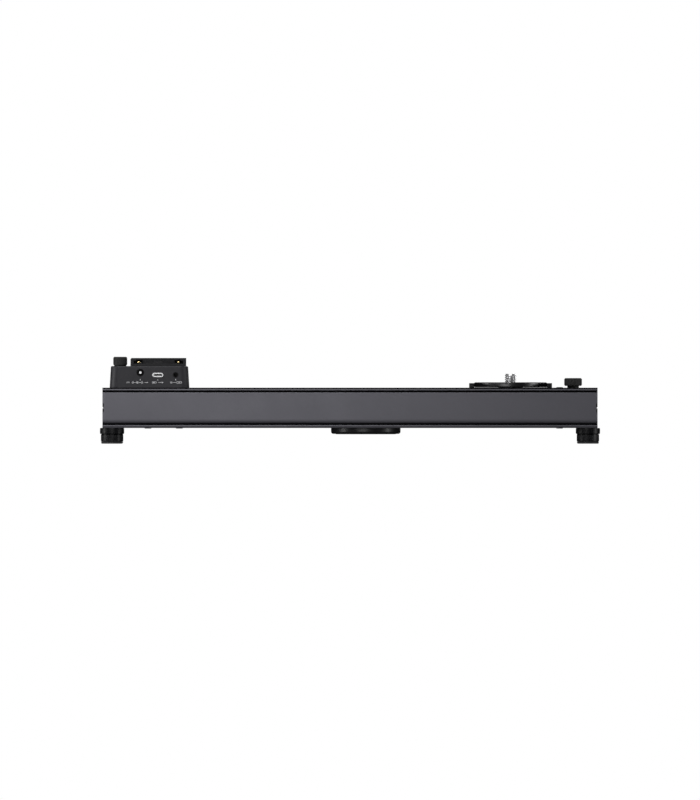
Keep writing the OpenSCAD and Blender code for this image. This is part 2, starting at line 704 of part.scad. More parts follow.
// Two jaws that grip the front run of the belt, hung from the chassis.
module belt_clamp() {
    x0 = carriage_x + clamp_dx - clamp_half;
    x1 = carriage_x + clamp_dx + clamp_half;
    color("silver") difference() {
        union() {
            block([x0, -10.6, belt_z0 - 0.7], [x1, -belt_out - 0.15, chassis_z0]);
            block([x0, -belt_in + 0.95, belt_z0 - 0.7], [x1, -2.4, chassis_z0]);
            block([x0, -10.6, belt_z0 + belt_w + 0.3], [x1, -2.4, chassis_z0]);
            block([x0, -15.8, chassis_z0 - 2], [x1, -2.4, chassis_z0]);
        }
        for (x = [-6, 6]) post(carriage_x + clamp_dx + x, clamp_screw_y, chassis_z0 - 3, chassis_z0 + 1, 1.3);
    }
}

module pan_motor() {
    x = carriage_x - pinion_gap;
    color("silver") difference() {
        union() {
            post(x, 0, chassis_z0 - 11, chassis_z0 - 2.5, 9.5);
            post(x, 0, chassis_z0 - 2.5, chassis_z0, 10);
        }
        post(x, 0, chassis_z0 - 3, chassis_z0 + 1, 1.6);
    }
}

module pan_bearing() {
    ball_ring_r = (hub_r + bearing_r) / 2;
    mid_z = bearing_z0 + 2;
    color("silver") {
        translate([carriage_x, 0, mid_z]) rotate_extrude() difference() {
            union() {
                translate([hub_r + 0.05, -1.95]) square([1.2, 3.9]);
                translate([bearing_r - skin - 1.2, -1.95]) square([1.2, 3.9]);
            }
            translate([ball_ring_r, 0]) circle(0.85);
        }
        for (i = [0:15]) rotate_about(i * 22.5) translate([carriage_x + ball_ring_r, 0, mid_z]) sphere(0.8, $fn = 24);
    }
}

// Turns its children about the panning axis.
module rotate_about(a) translate([carriage_x, 0, 0]) rotate([0, 0, a]) translate([-carriage_x, 0, 0]) children();

module pan_plate() {
    color("black") difference() {
        union() {
            post(carriage_x, 0, pan_z0, pan_z1, pan_d / 2);
            post(carriage_x, 0, gear_z0 + gear_h, pan_z0 + 0.5, hub_r);
        }
        post(carriage_x, 0, gear_z0, pan_z1 + 1, camera_screw_d / 2 + skin);
        post(carriage_x, 0, gear_z0, gear_z0 + gear_h + 2, 7.1);
    }
}

module pan_gear() {
    color("goldenrod") difference() {
        translate([carriage_x, 0, gear_z0]) linear_extrude(gear_h) gear_outline(gear_teeth, 0.12);
        post(carriage_x, 0, gear_z0 - 1, gear_z0 + gear_h + 1, 4);
    }
}

module camera_screw() {
    top = pan_z1 + pad_h + camera_screw_h;
    r = camera_screw_d / 2;
    color("silver") difference() {
        union() {
            post(carriage_x, 0, gear_z0 + gear_h, gear_z0 + gear_h + 1.9, 7);
            post(carriage_x, 0, gear_z0 + gear_h + 1, pan_z1 + 0.2, r - 0.8);
            post(carriage_x, 0, pan_z1 + 0.1, top - 0.6, r);
            translate([carriage_x, 0, top - 0.6]) cylinder(h = 0.6, r1 = r, r2 = r - 0.6);
        }
        translate([carriage_x, 0, top]) cube([2.4, 12, 2.8], center = true);
    }
}

module pan_pad() {
    color("darkslategray") difference() {
        post(carriage_x, 0, pan_z1, pan_z1 + pad_h, pan_d / 2 - 0.5);
        post(carriage_x, 0, pan_z1 - 1, pan_z1 + 1, 12);
    }
}

// The pan motor's pinion on its shaft, turned half a tooth so that it meshes with the gear.
module pan_pinion() {
    x = carriage_x - pinion_gap;
    color("goldenrod") {
        translate([x, 0, gear_z0]) rotate([0, 0, 180 / pinion_teeth])
            linear_extrude(gear_h) gear_outline(pinion_teeth, 0.12);
        post(x, 0, chassis_z0 - 2.4, gear_z0 + 1, 1.5);
    }
}

module drive_pulley() {
    color("silver") {
        translate([motor_x, 0, 0]) pulley_drum();
        post(motor_x, 0, belt_z0 - 1.5, motor_z0 + 11, 2.5);
    }
}

// The idler pulley, with a disc on top that the lock pad presses on.
module idler_pulley() {
    color("silver") difference() {
        union() {
            translate([idler_x, 0, 0]) pulley_drum();
            post(idler_x, 0, belt_z0 + belt_w + 1, belt_z0 + belt_w + 2.8, 7.5);
        }
        post(idler_x, 0, belt_z0 - 2, belt_z0 + belt_w + 4, 2.5 + run);
    }
}

module lock_pad() {
    z = belt_z0 + belt_w + 3.5;
    color("darkslategray") difference() {
        post(idler_x, 0, z, z + 2, 6);
        post(idler_x, 0, z + 1.2, z + 3, 2.6);
    }
}

module lock_knob() {
    pad_z = belt_z0 + belt_w + 3.5;
    neck_z = rail_z1 - 1.2;
    head_z = rail_z1 + 1.5;
    color("black") {
        post(idler_x, 0, pad_z + 1.25, pad_z + 3, 2.5);
        post(idler_x, 0, pad_z + 2.1, neck_z + 0.5, 3);
        post(idler_x, 0, neck_z, head_z + 0.5, 4.85);
        post(idler_x, 0, head_z, head_z + 6.5, 7.35);
    }
}

module encoder_plunger() {
    color("silver") post(strip_x, dial_y, control_board_z + 3, control_board_z + 4.6, 3);
}

module dial_knob() {
    color("black") {
        post(strip_x, dial_y, dial_z0, dial_z1 - 0.9, 5.8);
        translate([strip_x, dial_y, dial_z1 - 0.9]) cylinder(h = 0.9, r1 = 5.8, r2 = 4.9);
        post(strip_x, dial_y, box_z1 - 1.2, dial_z0 + 1, dial_collar_r);
        post(strip_x, dial_y, control_board_z + 4.65, dial_z0 + 1, 3);
    }
}

module power_button() {
    color("black") {
        post(strip_x, button_y, box_z1 - 3.8, box_z1 + 0.6, 3.4);
        post(strip_x, button_y, box_z1 - 3.8, box_z1 - 2.6, 4.2);
    }
}

module battery_latch() {
    color("black") {
        block([battery_x - 3.6, -33.1, box_z1 - 1.9], [battery_x + 3.6, -28.9, box_z1 + battery_floor + 1.7]);
        block([battery_x - 5, -34.4, box_z1 - 3.4], [battery_x + 5, -27.6, box_z1 - box_wall - 0.1]);
    }
}

rail();
end_plate_left();
end_plate_right();
end_plate_screws();
end_buffer_strips();
guide_rods();
control_box();
control_box_base();
battery_plate();
battery_terminal_pins();
dc_power_jack();
usb_c_socket();
shutter_jack();
main_board();
control_board();
display_window();
display_module();
drive_motor();
motor_bracket();
motor_screws();
idler_block();
idler_axle();
housing_screws();
bumpers();
drive_belt();
tripod_plate();
tripod_pad();
foot_sockets();
carriage_chassis();
carriage_saddle();
carriage_screws();
roller_axles();
belt_clamp();
pan_motor();
pan_bearing();
roller_front_left();
roller_front_right();
roller_rear_left();
roller_rear_right();
pan_plate();
pan_gear();
camera_screw();
pan_pad();
pan_pinion();
drive_pulley();
idler_pulley();
lock_pad();
lock_knob();
encoder_plunger();
dial_knob();
power_button();
battery_latch();
foot_cup_front_left();
foot_cup_front_right();
foot_cup_rear_left();
foot_cup_rear_right();
foot_pad_front_left();
foot_pad_front_right();
foot_pad_rear_left();
foot_pad_rear_right();
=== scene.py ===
"""Motorised camera slider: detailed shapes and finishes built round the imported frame.

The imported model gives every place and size. Each sub-assembly is a class that builds its own
meshes in metres, in the frame's axes, and hands them to fit(), which ties them to their
bodies. Lengths in the dataclass fields are millimetres unless a comment says otherwise.
"""

from __future__ import annotations

import logging
import math
import sys
from dataclasses import dataclass, field
from enum import Enum
from typing import Callable, Iterable, Sequence

import bmesh
import bpy
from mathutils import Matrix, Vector


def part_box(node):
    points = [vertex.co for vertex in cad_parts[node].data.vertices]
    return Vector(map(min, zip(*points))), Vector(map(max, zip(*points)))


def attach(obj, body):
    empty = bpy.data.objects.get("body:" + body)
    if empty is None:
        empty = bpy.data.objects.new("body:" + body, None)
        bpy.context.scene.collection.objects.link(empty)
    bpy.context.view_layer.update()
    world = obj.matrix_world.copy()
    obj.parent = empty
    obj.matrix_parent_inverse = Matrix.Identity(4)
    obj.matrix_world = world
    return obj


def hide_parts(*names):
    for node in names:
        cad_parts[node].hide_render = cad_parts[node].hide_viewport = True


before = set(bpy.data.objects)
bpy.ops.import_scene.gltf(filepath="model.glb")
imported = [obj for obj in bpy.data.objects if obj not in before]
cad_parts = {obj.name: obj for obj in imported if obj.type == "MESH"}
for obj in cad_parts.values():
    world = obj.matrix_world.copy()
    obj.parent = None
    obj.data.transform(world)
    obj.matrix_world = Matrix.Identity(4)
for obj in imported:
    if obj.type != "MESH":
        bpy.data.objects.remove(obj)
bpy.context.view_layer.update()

MM = 0.001
LOG = logging.getLogger("slider")

Point2 = tuple[float, float]
Corner = tuple[float, float, float]
Colour = tuple[float, float, float]


class Axis(Enum):
    """The direction that a prism is drawn out along."""

    X = 0
    Y = 1
    Z = 2


@dataclass(frozen=True)
class Bounds:
    """The box of a CAD node, in millimetres."""

    low: Vector
    high: Vector

    @classmethod
    def of(cls, node: str) -> "Bounds":
        """Reads the box of a CAD node.

        Args:
            node: The node's name.

        Returns:
            Its lowest and highest corners in millimetres.
        """
        low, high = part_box(node)
        return cls(low / MM, high / MM)

    @property
    def centre(self) -> Vector:
        """The middle of the box."""
        return (self.low + self.high) / 2

    @property
    def size(self) -> Vector:
        """The box's length, width and height."""
        return self.high - self.low


# ---------------------------------------------------------------------------------------------
# Finishes


class Shader:
    """One material's nodes, wired round a Principled surface."""

    def __init__(self, name: str) -> None:
        """Starts an empty material.

        Args:
            name: The material's name.
        """
        self.material = bpy.data.materials.new(name)
        self.material.use_nodes = True
        self.nodes = self.material.node_tree.nodes
        self.links = self.material.node_tree.links
        self.surface = self.nodes["Principled BSDF"]

    def add(self, kind: str, **values: object) -> bpy.types.Node:
        """Adds a node.

        Args:
            kind: The node's type name.
            values: Settings by attribute name, or inputs by socket name with _ for a space.

        Returns:
            The new node.
        """
        node = self.nodes.new(kind)
        for key, value in values.items():
            if hasattr(node, key):
                setattr(node, key, value)
            else:
                node.inputs[key.replace("_", " ")].default_value = value
        return node

    def coordinates(self, stretch: Sequence[float] = (1, 1, 1), centre: Sequence[float] = (0, 0, 0)):
        """Object coordinates, moved to a centre and stretched.

        Args:
            stretch: Factor on each axis; a small one draws the pattern out along it.
            centre: The pattern's centre in metres.

        Returns:
            The vector socket.
        """
        place = self.add("ShaderNodeTexCoord")
        mapping = self.add("ShaderNodeMapping")
        mapping.inputs["Scale"].default_value = stretch
        mapping.inputs["Location"].default_value = [-c * s for c, s in zip(centre, stretch)]
        self.links.new(place.outputs["Object"], mapping.inputs["Vector"])
        return mapping.outputs["Vector"]

    def noise(self, vector, size_mm: float, detail: float = 3.0, rough: float = 0.5):
        """Fractal noise.

        Args:
            vector: Where it is read.
            size_mm: Size of its largest features.
            detail: Number of finer layers.
            rough: Strength of the finer layers.

        Returns:
            The factor socket.
        """
        node = self.add("ShaderNodeTexNoise", Scale=1 / (size_mm * MM), Detail=detail, Roughness=rough)
        self.links.new(vector, node.inputs["Vector"])
        return node.outputs["Fac"]

    def spread(self, value, low: float, high: float, start: float = 0.3, end: float = 0.7):
        """Maps a factor to a range.

        Args:
            value: The factor socket.
            low: Result at start.
            high: Result at end.
            start: Factor at the low end.
            end: Factor at the high end.

        Returns:
            The result socket.
        """
        node = self.add("ShaderNodeMapRange")
        for name, number in (("From Min", start), ("From Max", end), ("To Min", low), ("To Max", high)):
            node.inputs[name].default_value = number
        self.links.new(value, node.inputs["Value"])
        return node.outputs["Result"]

    def blend(self, factor, first: Colour | object, second: Colour | object):
        """Mixes two colours.

        Args:
            factor: The factor socket.
            first: Colour or socket at factor 0.
            second: Colour or socket at factor 1.

        Returns:
            The colour socket.
        """
        node = self.add("ShaderNodeMix", data_type="RGBA")
        self.links.new(factor, node.inputs["Factor"])
        for socket, value in ((node.inputs[6], first), (node.inputs[7], second)):
            if isinstance(value, tuple):
                socket.default_value = (*value, 1)
            else:
                self.links.new(value, socket)
        return node.outputs[2]

    def bump(self, height, depth_mm: float, strength: float = 1.0) -> None:
        """Adds a relief on top of what is already there.

        Args:
            height: The height socket, 0 to 1.
            depth_mm: Depth of the relief.
            strength: How strongly it shows.
        """
        node = self.add("ShaderNodeBump", Strength=strength, Distance=depth_mm * MM)
        self.links.new(height, node.inputs["Height"])
        socket = self.surface.inputs["Normal"]
        if socket.is_linked:
            self.links.new(socket.links[0].from_socket, node.inputs["Normal"])
        self.links.new(node.outputs["Normal"], socket)

    def feed(self, name: str, value) -> None:
        """Connects a socket to one of the surface's inputs."""
        self.links.new(value, self.surface.inputs[name])


@dataclass(frozen=True)
class Finish:
    """A surface finish. Subclasses add their own relief and variation."""

    name: str
    slot: str
    colour: Colour
    roughness: float
    metallic: float = 0.0
    specular: float = 0.5
    mottle: float = 0.12  # share by which the colour varies
    mottle_mm: float = 18.0
    wear: float = 0.0  # how much the edges are rubbed lighter

    def material(self) -> bpy.types.Material:
        """Builds the material once and gives it again after that."""
        known = bpy.data.materials.get(self.name)
        if known:
            return known
        shader = Shader(self.name)
        shader.surface.inputs["Metallic"].default_value = self.metallic
        shader.surface.inputs["Specular IOR Level"].default_value = self.specular
        self.dress(shader)
        return shader.material

    def dress(self, shader: Shader) -> None:
        """Wires colour, roughness and relief.

        Args:
            shader: The material to wire.
        """
        place = shader.coordinates()
        cloud = shader.noise(place, self.mottle_mm, 4)
        self.paint(shader, cloud)
        shader.feed("Roughness", shader.spread(cloud, self.roughness * 0.88, self.roughness * 1.12))

    def paint(self, shader: Shader, cloud) -> None:
        """Sets the colour, a little darker and lighter in clouds, with rubbed edges.

        Args:
            shader: The material to wire.
            cloud: The factor that varies the colour.
        """
        dark = tuple(c * (1 - self.mottle) for c in self.colour)
        light = tuple(c * (1 + self.mottle) for c in self.colour)
        colour = shader.blend(cloud, dark, light)
        if self.wear > 0:
            form = shader.add("ShaderNodeNewGeometry")
            edge = shader.spread(form.outputs["Pointiness"], 0, self.wear, 0.53, 0.6)
            scuff = shader.noise(shader.coordinates(), 1.6, 5, 0.65)
            worn = shader.add("ShaderNodeMath", operation="MULTIPLY")
            shader.links.new(edge, worn.inputs[0])
            shader.links.new(shader.spread(scuff, 0.2, 1.0, 0.42, 0.6), worn.inputs[1])
            colour = shader.blend(worn.outputs["Value"], colour, (0.22, 0.22, 0.23))
        shader.feed("Base Color", colour)


@dataclass(frozen=True)
class Anodised(Finish):
    """Bead-blasted and anodised aluminium, drawn or milled along one direction."""

    grain_mm: float = 0.16
    grain_depth: float = 0.012
    draw: Axis | None = None  # direction of the die lines

    def dress(self, shader: Shader) -> None:
        """Adds the blasted grain and the die lines."""
        super().dress(shader)
        grain = shader.noise(shader.coordinates(), self.grain_mm, 2, 0.6)
        shader.bump(grain, self.grain_depth)
        if self.draw is not None:
            stretch = [1.0, 1.0, 1.0]
            stretch[self.draw.value] = 0.004
            lines = shader.noise(shader.coordinates(stretch), 0.5, 3, 0.7)
            shader.bump(lines, 0.008, 0.6)


@dataclass(frozen=True)
class Moulded(Finish):
    """Moulded plastic with a spark-eroded texture."""

    grain_mm: float = 0.35
    grain_depth: float = 0.03

    def dress(self, shader: Shader) -> None:
        """Adds the texture's pits and a finer grain over them."""
        super().dress(shader)
        pits = shader.noise(shader.coordinates(), self.grain_mm, 4, 0.7)
        shader.bump(shader.spread(pits, 0, 1, 0.35, 0.65), self.grain_depth)


@dataclass(frozen=True)
class Ground(Finish):
    """Bare steel ground or drawn along one direction."""

    along: Axis = Axis.X

    def dress(self, shader: Shader) -> None:
        """Adds long fine scratches along the grinding direction."""
        super().dress(shader)
        stretch = [1.0, 1.0, 1.0]
        stretch[self.along.value] = 0.02
        scratches = shader.noise(shader.coordinates(stretch), 0.12, 3, 0.6)
        shader.bump(scratches, 0.004)


@dataclass(frozen=True)
class Rubber(Finish):
    """Matt moulded rubber with dust in its texture."""

    def dress(self, shader: Shader) -> None:
        """Adds a soft pitted grain and dusty patches."""
        super().dress(shader)
        grain = shader.noise(shader.coordinates(), 0.22, 3, 0.65)
        shader.bump(grain, 0.03)
        shader.surface.inputs["Sheen Weight"].default_value = 0.08
        shader.surface.inputs["Sheen Roughness"].default_value = 0.5


@dataclass(frozen=True)
class Window(Finish):
    """Smoked window over a display that is off."""

    def dress(self, shader: Shader) -> None:
        """Keeps the surface smooth, with a clear coat and faint smears."""
        super().dress(shader)
        shader.surface.inputs["Coat Weight"].default_value = 0.6
        shader.surface.inputs["Coat Roughness"].default_value = 0.04
        smears = shader.noise(shader.coordinates((1, 0.4, 1)), 6, 4, 0.6)
        shader.bump(smears, 0.004, 0.3)


@dataclass(frozen=True)
class Board(Finish):
    """Circuit board: solder mask with tracks showing through."""

    track: Colour = (0.05, 0.16, 0.07)

    def dress(self, shader: Shader) -> None:
        """Draws tracks as thin cell borders under the mask."""
        super().dress(shader)
        cells = shader.add("ShaderNodeTexVoronoi", feature="DISTANCE_TO_EDGE", distance="EUCLIDEAN",
                           Scale=420)
        shader.links.new(shader.coordinates((1, 1, 0.01)), cells.inputs["Vector"])
        track = shader.spread(cells.outputs["Distance"], 1, 0, 0.04, 0.09)
        shader.feed("Base Color", shader.blend(track, self.colour, self.track))
        shader.bump(track, 0.03)


@dataclass(frozen=True)
class Laminated(Finish):
    """A stepper motor's body: black lamination stack between cast end bells."""

    bells: Colour = (0.32, 0.32, 0.33)
    low_mm: float = 36.0
    high_mm: float = 51.0

    def dress(self, shader: Shader) -> None:
        """Colours the stack and the bells by height and adds the sheets' edges."""
        super().dress(shader)
        parts = shader.add("ShaderNodeSeparateXYZ")
        shader.links.new(shader.coordinates(), parts.inputs[0])
        height = parts.outputs["Z"]
        above = shader.spread(height, 0, 1, self.high_mm * MM, (self.high_mm + 0.1) * MM)
        below = shader.spread(height, 1, 0, (self.low_mm - 0.1) * MM, self.low_mm * MM)
        bell = shader.add("ShaderNodeMath", operation="MAXIMUM")
        shader.links.new(above, bell.inputs[0])
        shader.links.new(below, bell.inputs[1])
        shader.feed("Base Color", shader.blend(bell.outputs[0], self.colour, self.bells))
        sheets = shader.add("ShaderNodeTexWave", wave_type="BANDS", bands_direction="Z", Scale=320)
        shader.links.new(shader.coordinates(), sheets.inputs["Vector"])
        shader.bump(sheets.outputs["Fac"], 0.03, 0.5)


RAIL_GREY = Anodised("rail_anodised_grey", "anodised_rail", (0.132, 0.13, 0.15), 0.46, 0.35,
                     mottle=0.035, mottle_mm=40, draw=Axis.X)
END_GREY = Anodised("end_plate_anodised_grey", "anodised_rail", (0.134, 0.132, 0.152), 0.44, 0.35,
                    mottle=0.05)
# Near-black matt colour: painted shade in the rail's grooves, and the colour of the top band of its lips.
GROOVE_SHADE_LIP_BLACK = Finish("groove_black", "anodised_rail", (0.003, 0.003, 0.004), 0.6, 0.0, 0.04)
BLACK_METAL = Anodised("black_anodised", "black_metal", (0.004, 0.004, 0.005), 0.42, 0.0, 0.3, wear=0.03)
PAN_BLACK = Anodised("panning_plate_anodised", "black_metal", (0.005, 0.005, 0.006), 0.36, 0.0, 1.0,
                     grain_depth=0.005)
TRIPOD_BLACK = Anodised("tripod_plate_anodised", "black_metal", (0.03, 0.03, 0.033), 0.36, 0.0, wear=0.08)
FOOT_BLACK = Anodised("foot_black_anodised", "foot_black", (0.004, 0.004, 0.005), 0.36, 0.0, 0.17, wear=0.04)
SCREW_BLACK = Anodised("screw_black_oxide", "black_screws", (0.011, 0.011, 0.012), 0.3, 0.3, wear=0.15,
                       grain_mm=0.1)
BOX_SHELL = Moulded("control_box_satin_plastic", "box_shell", (0.023, 0.0225, 0.027), 0.5, 0.0, 0.4,
                    mottle=0.05)
PLATE_PLASTIC = Moulded("battery_plate_plastic", "battery_plate", (0.009, 0.009, 0.011), 0.5, 0.0, 0.32,
                        grain_mm=0.3)
# Dark inner plastic; also laid inside the USB socket's metal shell as painted shade.
INNER_PLASTIC_AND_SHADE = Moulded("inner_black_plastic", "inner_plastic", (0.02, 0.02, 0.022), 0.55)
JACK_PLASTIC = Moulded("jack_black_plastic", "jack_plastic", (0.004, 0.004, 0.005), 0.45, 0.0, 0.2,
                       grain_depth=0.006)
KNOB_BLACK = Moulded("knob_black", "knob_black", (0.002, 0.002, 0.0025), 0.5, 0.0, 0.02, grain_mm=0.25,
                     grain_depth=0.012)
RUBBER = Rubber("black_rubber", "rubber", (0.019, 0.019, 0.0205), 0.72)
BELT_RUBBER = Rubber("belt_rubber", "belt", (0.015, 0.015, 0.016), 0.6)
ROD_STEEL = Ground("ground_rod_steel", "steel", (0.62, 0.62, 0.63), 0.16, 1.0, mottle=0.03)
SMALL_STEEL = Ground("small_steel", "steel", (0.7, 0.7, 0.71), 0.3, 0.75, mottle=0.05, along=Axis.Z)
INNER_ALUMINIUM = Anodised("milled_aluminium", "inner_aluminium", (0.46, 0.46, 0.475), 0.36, 0.9, mottle=0.05)
ACETAL = Finish("turned_acetal", "roller_plastic", (0.7, 0.69, 0.64), 0.36, mottle=0.04)
BRASS = Ground("turned_brass", "brass", (0.68, 0.5, 0.22), 0.24, 1.0, along=Axis.Z)
PIN_GOLD = Ground("plated_contact", "brass", (0.86, 0.68, 0.34), 0.16, 1.0, along=Axis.Y)
MOTOR = Laminated("stepper_motor", "motor_steel", (0.012, 0.012, 0.013), 0.42, 0.2)
MOTOR_CAN = Ground("motor_can_steel", "motor_steel", (0.5, 0.5, 0.51), 0.3, 1.0, along=Axis.Z)
DISPLAY = Window("display_smoked_window", "display_glass", (0.004, 0.004, 0.006), 0.06)
CIRCUIT = Board("circuit_board_green", "circuit_board", (0.012, 0.07, 0.03), 0.35)
INK = Finish("white_print", "box_shell", (0.62, 0.62, 0.64), 0.6, mottle=0.06, mottle_mm=0.5)
PLATING = Ground("usb_bright_plating", "steel", (0.52, 0.52, 0.53), 0.3, 0.9, mottle=0.02, along=Axis.Y)


# ---------------------------------------------------------------------------------------------
# Shapes


def link(name: str, data: bpy.types.ID) -> bpy.types.Object:
    """Puts a mesh, a camera or a light into the scene as an object at the origin."""
    piece = bpy.data.objects.new(name, data)
    bpy.context.scene.collection.objects.link(piece)
    return piece


def circle(x: float, y: float, r: float, count: int = 40) -> list[Point2]:
    """A circle's outline about (x, y)."""
    angles = [2 * math.pi * k / count for k in range(count)]
    return [(x + r * math.cos(a), y + r * math.sin(a)) for a in angles]


def arc_quads(x: float, y: float, radii: Point2, start: float, end: float, steps: int) -> list[list[Point2]]:
    """Splits a round stroke into four-cornered areas.

    Args:
        x: Its centre.
        y: Its centre.
        radii: Inner and outer radius.
        start: Its first angle in degrees.
        end: Its last angle in degrees.
        steps: Number of areas.

    Returns:
        The outline of each area.
    """
    turns = [math.radians(start + (end - start) * k / steps) for k in range(steps + 1)]
    inner, outer = radii
    return [[(x + r * math.cos(a), y + r * math.sin(a))
             for r, a in ((inner, a0), (outer, a0), (outer, a1), (inner, a1))]
            for a0, a1 in zip(turns, turns[1:])]


def fillet(corners: Sequence[Corner], closed: bool = True, steps: int = 6) -> list[Point2]:
    """Rounds the corners of an outline.

    Args:
        corners: Points as (x, y, radius); radius 0 keeps the corner sharp.
        closed: Whether the last point joins the first.
        steps: Segments in each arc.

    Returns:
        The outline's points.
    """
    points: list[Point2] = []
    count = len(corners)
    for i, (x, y, r) in enumerate(corners):
        if r <= 0 or (not closed and i in (0, count - 1)):
            points.append((x, y))
            continue
        here = Vector((x, y))
        back = (Vector(corners[i - 1][:2]) - here).normalized()
        ahead = (Vector(corners[(i + 1) % count][:2]) - here).normalized()
        half = math.acos(max(-1.0, min(1.0, back.dot(ahead)))) / 2
        if half > math.pi / 2 - 1e-3:
            points.append((x, y))
            continue
        middle = here + (back + ahead).normalized() * (r / math.sin(half))
        start = here + back * (r / math.tan(half)) - middle
        end = here + ahead * (r / math.tan(half)) - middle
        turn = math.atan2(start.x * end.y - start.y * end.x, start.dot(end))
        for k in range(steps + 1):
            a = turn * k / steps
            points.append((
                middle.x + start.x * math.cos(a) - start.y * math.sin(a),
                middle.y + start.x * math.sin(a) + start.y * math.cos(a),
            ))
    return points


def rounded_rectangle(x: float, y: float, w: float, h: float, r: float, steps: int = 6) -> list[Point2]:
    """A rectangle's outline with round corners, about the centre (x, y)."""
    return fillet([(x + a * w / 2, y + b * h / 2, r) for a, b in ((-1, -1), (1, -1), (1, 1), (-1, 1))],
                  True, steps)


class Form:
    """A mesh under construction. Its methods take millimetres and can be chained."""

    def __init__(self) -> None:
        """Starts an empty mesh."""
        self.mesh = bmesh.new()

    def ring(self, points: Iterable[Sequence[float]]) -> list[bmesh.types.BMVert]:
        """Adds a loop of vertices at points given in millimetres."""
        return [self.mesh.verts.new([c * MM for c in p]) for p in points]

    def bridge(self, rings: Sequence[Sequence[bmesh.types.BMVert]], closed: bool = False) -> None:
        """Joins loops by faces; a loop of one vertex is a pole.

        Args:
            rings: Loops in order.
            closed: Whether the last loop joins the first.
        """
        pairs = list(zip(rings, rings[1:])) + ([(rings[-1], rings[0])] if closed else [])
        for a, b in pairs:
            n = max(len(a), len(b))
            for i in range(n):
                j = (i + 1) % n
                corner = [a[i % len(a)], a[j % len(a)], b[j % len(b)], b[i % len(b)]]
                unique = list(dict.fromkeys(corner))
                if len(unique) > 2:
                    self.mesh.faces.new(unique)

    def lathe(self, profile: Sequence[Point2], centre: Sequence[float], segments: int = 96,
              closed: bool = False) -> "Form":
        """Turns a profile about an upright axis.

        Args:
            profile: Points as (radius, height).
            centre: (x, y) of the axis.
            segments: Number of sides.
            closed: Whether the profile is a closed loop, as for a ring.

        Returns:
            The form itself.
        """
        x, y = centre[0], centre[1]
        rings = []
        for r, z in profile:
            points = [(x, y)] if r < 1e-6 else circle(x, y, r, segments)
            rings.append(self.ring([(*p, z) for p in points]))
        self.bridge(rings, closed)
        return self

    def prism(self, outline: Sequence[Point2], axis: Axis, low: float, high: float,
              edge: float = 0.0) -> "Form":
        """Draws a closed outline out along an axis.

        Args:
            outline: Points in the plane across the axis, in X, Y, Z order.
            axis: The direction.
            low: Start along the axis.
            high: End along the axis.
            edge: Chamfer where the outline meets the two ends; needs a convex outline.

        Returns:
            The form itself.
        """
        centre = Vector((sum(p[0] for p in outline), sum(p[1] for p in outline))) / len(outline)
        half = max(max(abs(p[0] - centre.x), abs(p[1] - centre.y)) for p in outline)
        levels = [(low, 1.0), (high, 1.0)]
        if edge > 0:
            shrink = 1 - edge / half
            levels = [(low, shrink), (low + edge, 1.0), (high - edge, 1.0), (high, shrink)]
        rings = []
        for level, scale in levels:
            ring = []
            for p in outline:
                flat = [centre.x + (p[0] - centre.x) * scale, centre.y + (p[1] - centre.y) * scale]
                flat.insert(axis.value, level)
                ring.append(flat)
            rings.append(self.ring(ring))
        self.bridge(rings)
        self.mesh.faces.new(rings[0])
        self.mesh.faces.new(rings[-1])
        return self

    def block(self, low: Sequence[float], high: Sequence[float]) -> "Form":
        """Adds a box between two corners."""
        outline = [(low[0], low[1]), (high[0], low[1]), (high[0], high[1]), (low[0], high[1])]
        return self.prism(outline, Axis.Z, low[2], high[2])

    def soften(self, width: float, segments: int = 2, angle: float = 32.0) -> "Form":
        """Rounds every edge that turns by more than an angle.

        Args:
            width: Size of the rounding.
            segments: Faces across it.
            angle: Smallest turn that is rounded, in degrees.

        Returns:
            The form itself.
        """
        bmesh.ops.recalc_face_normals(self.mesh, faces=self.mesh.faces)
        limit = math.radians(angle)
        edges = [e for e in self.mesh.edges if len(e.link_faces) == 2 and e.calc_face_angle(0) > limit]
        bmesh.ops.bevel(self.mesh, geom=edges, offset=width * MM, segments=segments, profile=0.6,
                        affect="EDGES", clamp_overlap=True)
        return self

    def object(self, name: str, merge: float = 1e-4, crease: float = 38.0) -> bpy.types.Object:
        """Turns the form into an object with outward faces and smooth shading.

        Args:
            name: The object's name.
            merge: Distance in millimetres within which vertices are merged.
            crease: Edges that turn by more than this many degrees stay sharp.

        Returns:
            The object, at the origin.
        """
        bmesh.ops.remove_doubles(self.mesh, verts=self.mesh.verts, dist=merge * MM)
        bmesh.ops.recalc_face_normals(self.mesh, faces=self.mesh.faces)
        shade(self.mesh, crease)
        data = bpy.data.meshes.new(name)
        self.mesh.to_mesh(data)
        self.mesh.free()
        return link(name, data)


def shade(mesh: bmesh.types.BMesh, crease: float) -> None:
    """Smooths faces and keeps edges sharp past an angle in degrees."""
    for face in mesh.faces:
        face.smooth = True
    for edge in mesh.edges:
        edge.smooth = len(edge.link_faces) == 2 and edge.calc_face_angle(0) < math.radians(crease)


def bake(piece: bpy.types.Object, name: str, crease: float = 38.0) -> bpy.types.Object:
    """Applies an object's modifiers and gives the result as a plain object.

    Args:
        piece: The object; it is removed.
        name: The new object's name.
        crease: Angle in degrees past which edges stay sharp.

    Returns:
        The plain object.
    """
    ready = piece.evaluated_get(bpy.context.evaluated_depsgraph_get())
    data = bpy.data.meshes.new_from_object(ready)
    bpy.data.objects.remove(piece)
    work = bmesh.new()
    work.from_mesh(data)
    bmesh.ops.dissolve_degenerate(work, edges=work.edges, dist=1e-7)
    shade(work, crease)
    work.to_mesh(data)
    work.free()
    data.name = name
    return link(name, data)


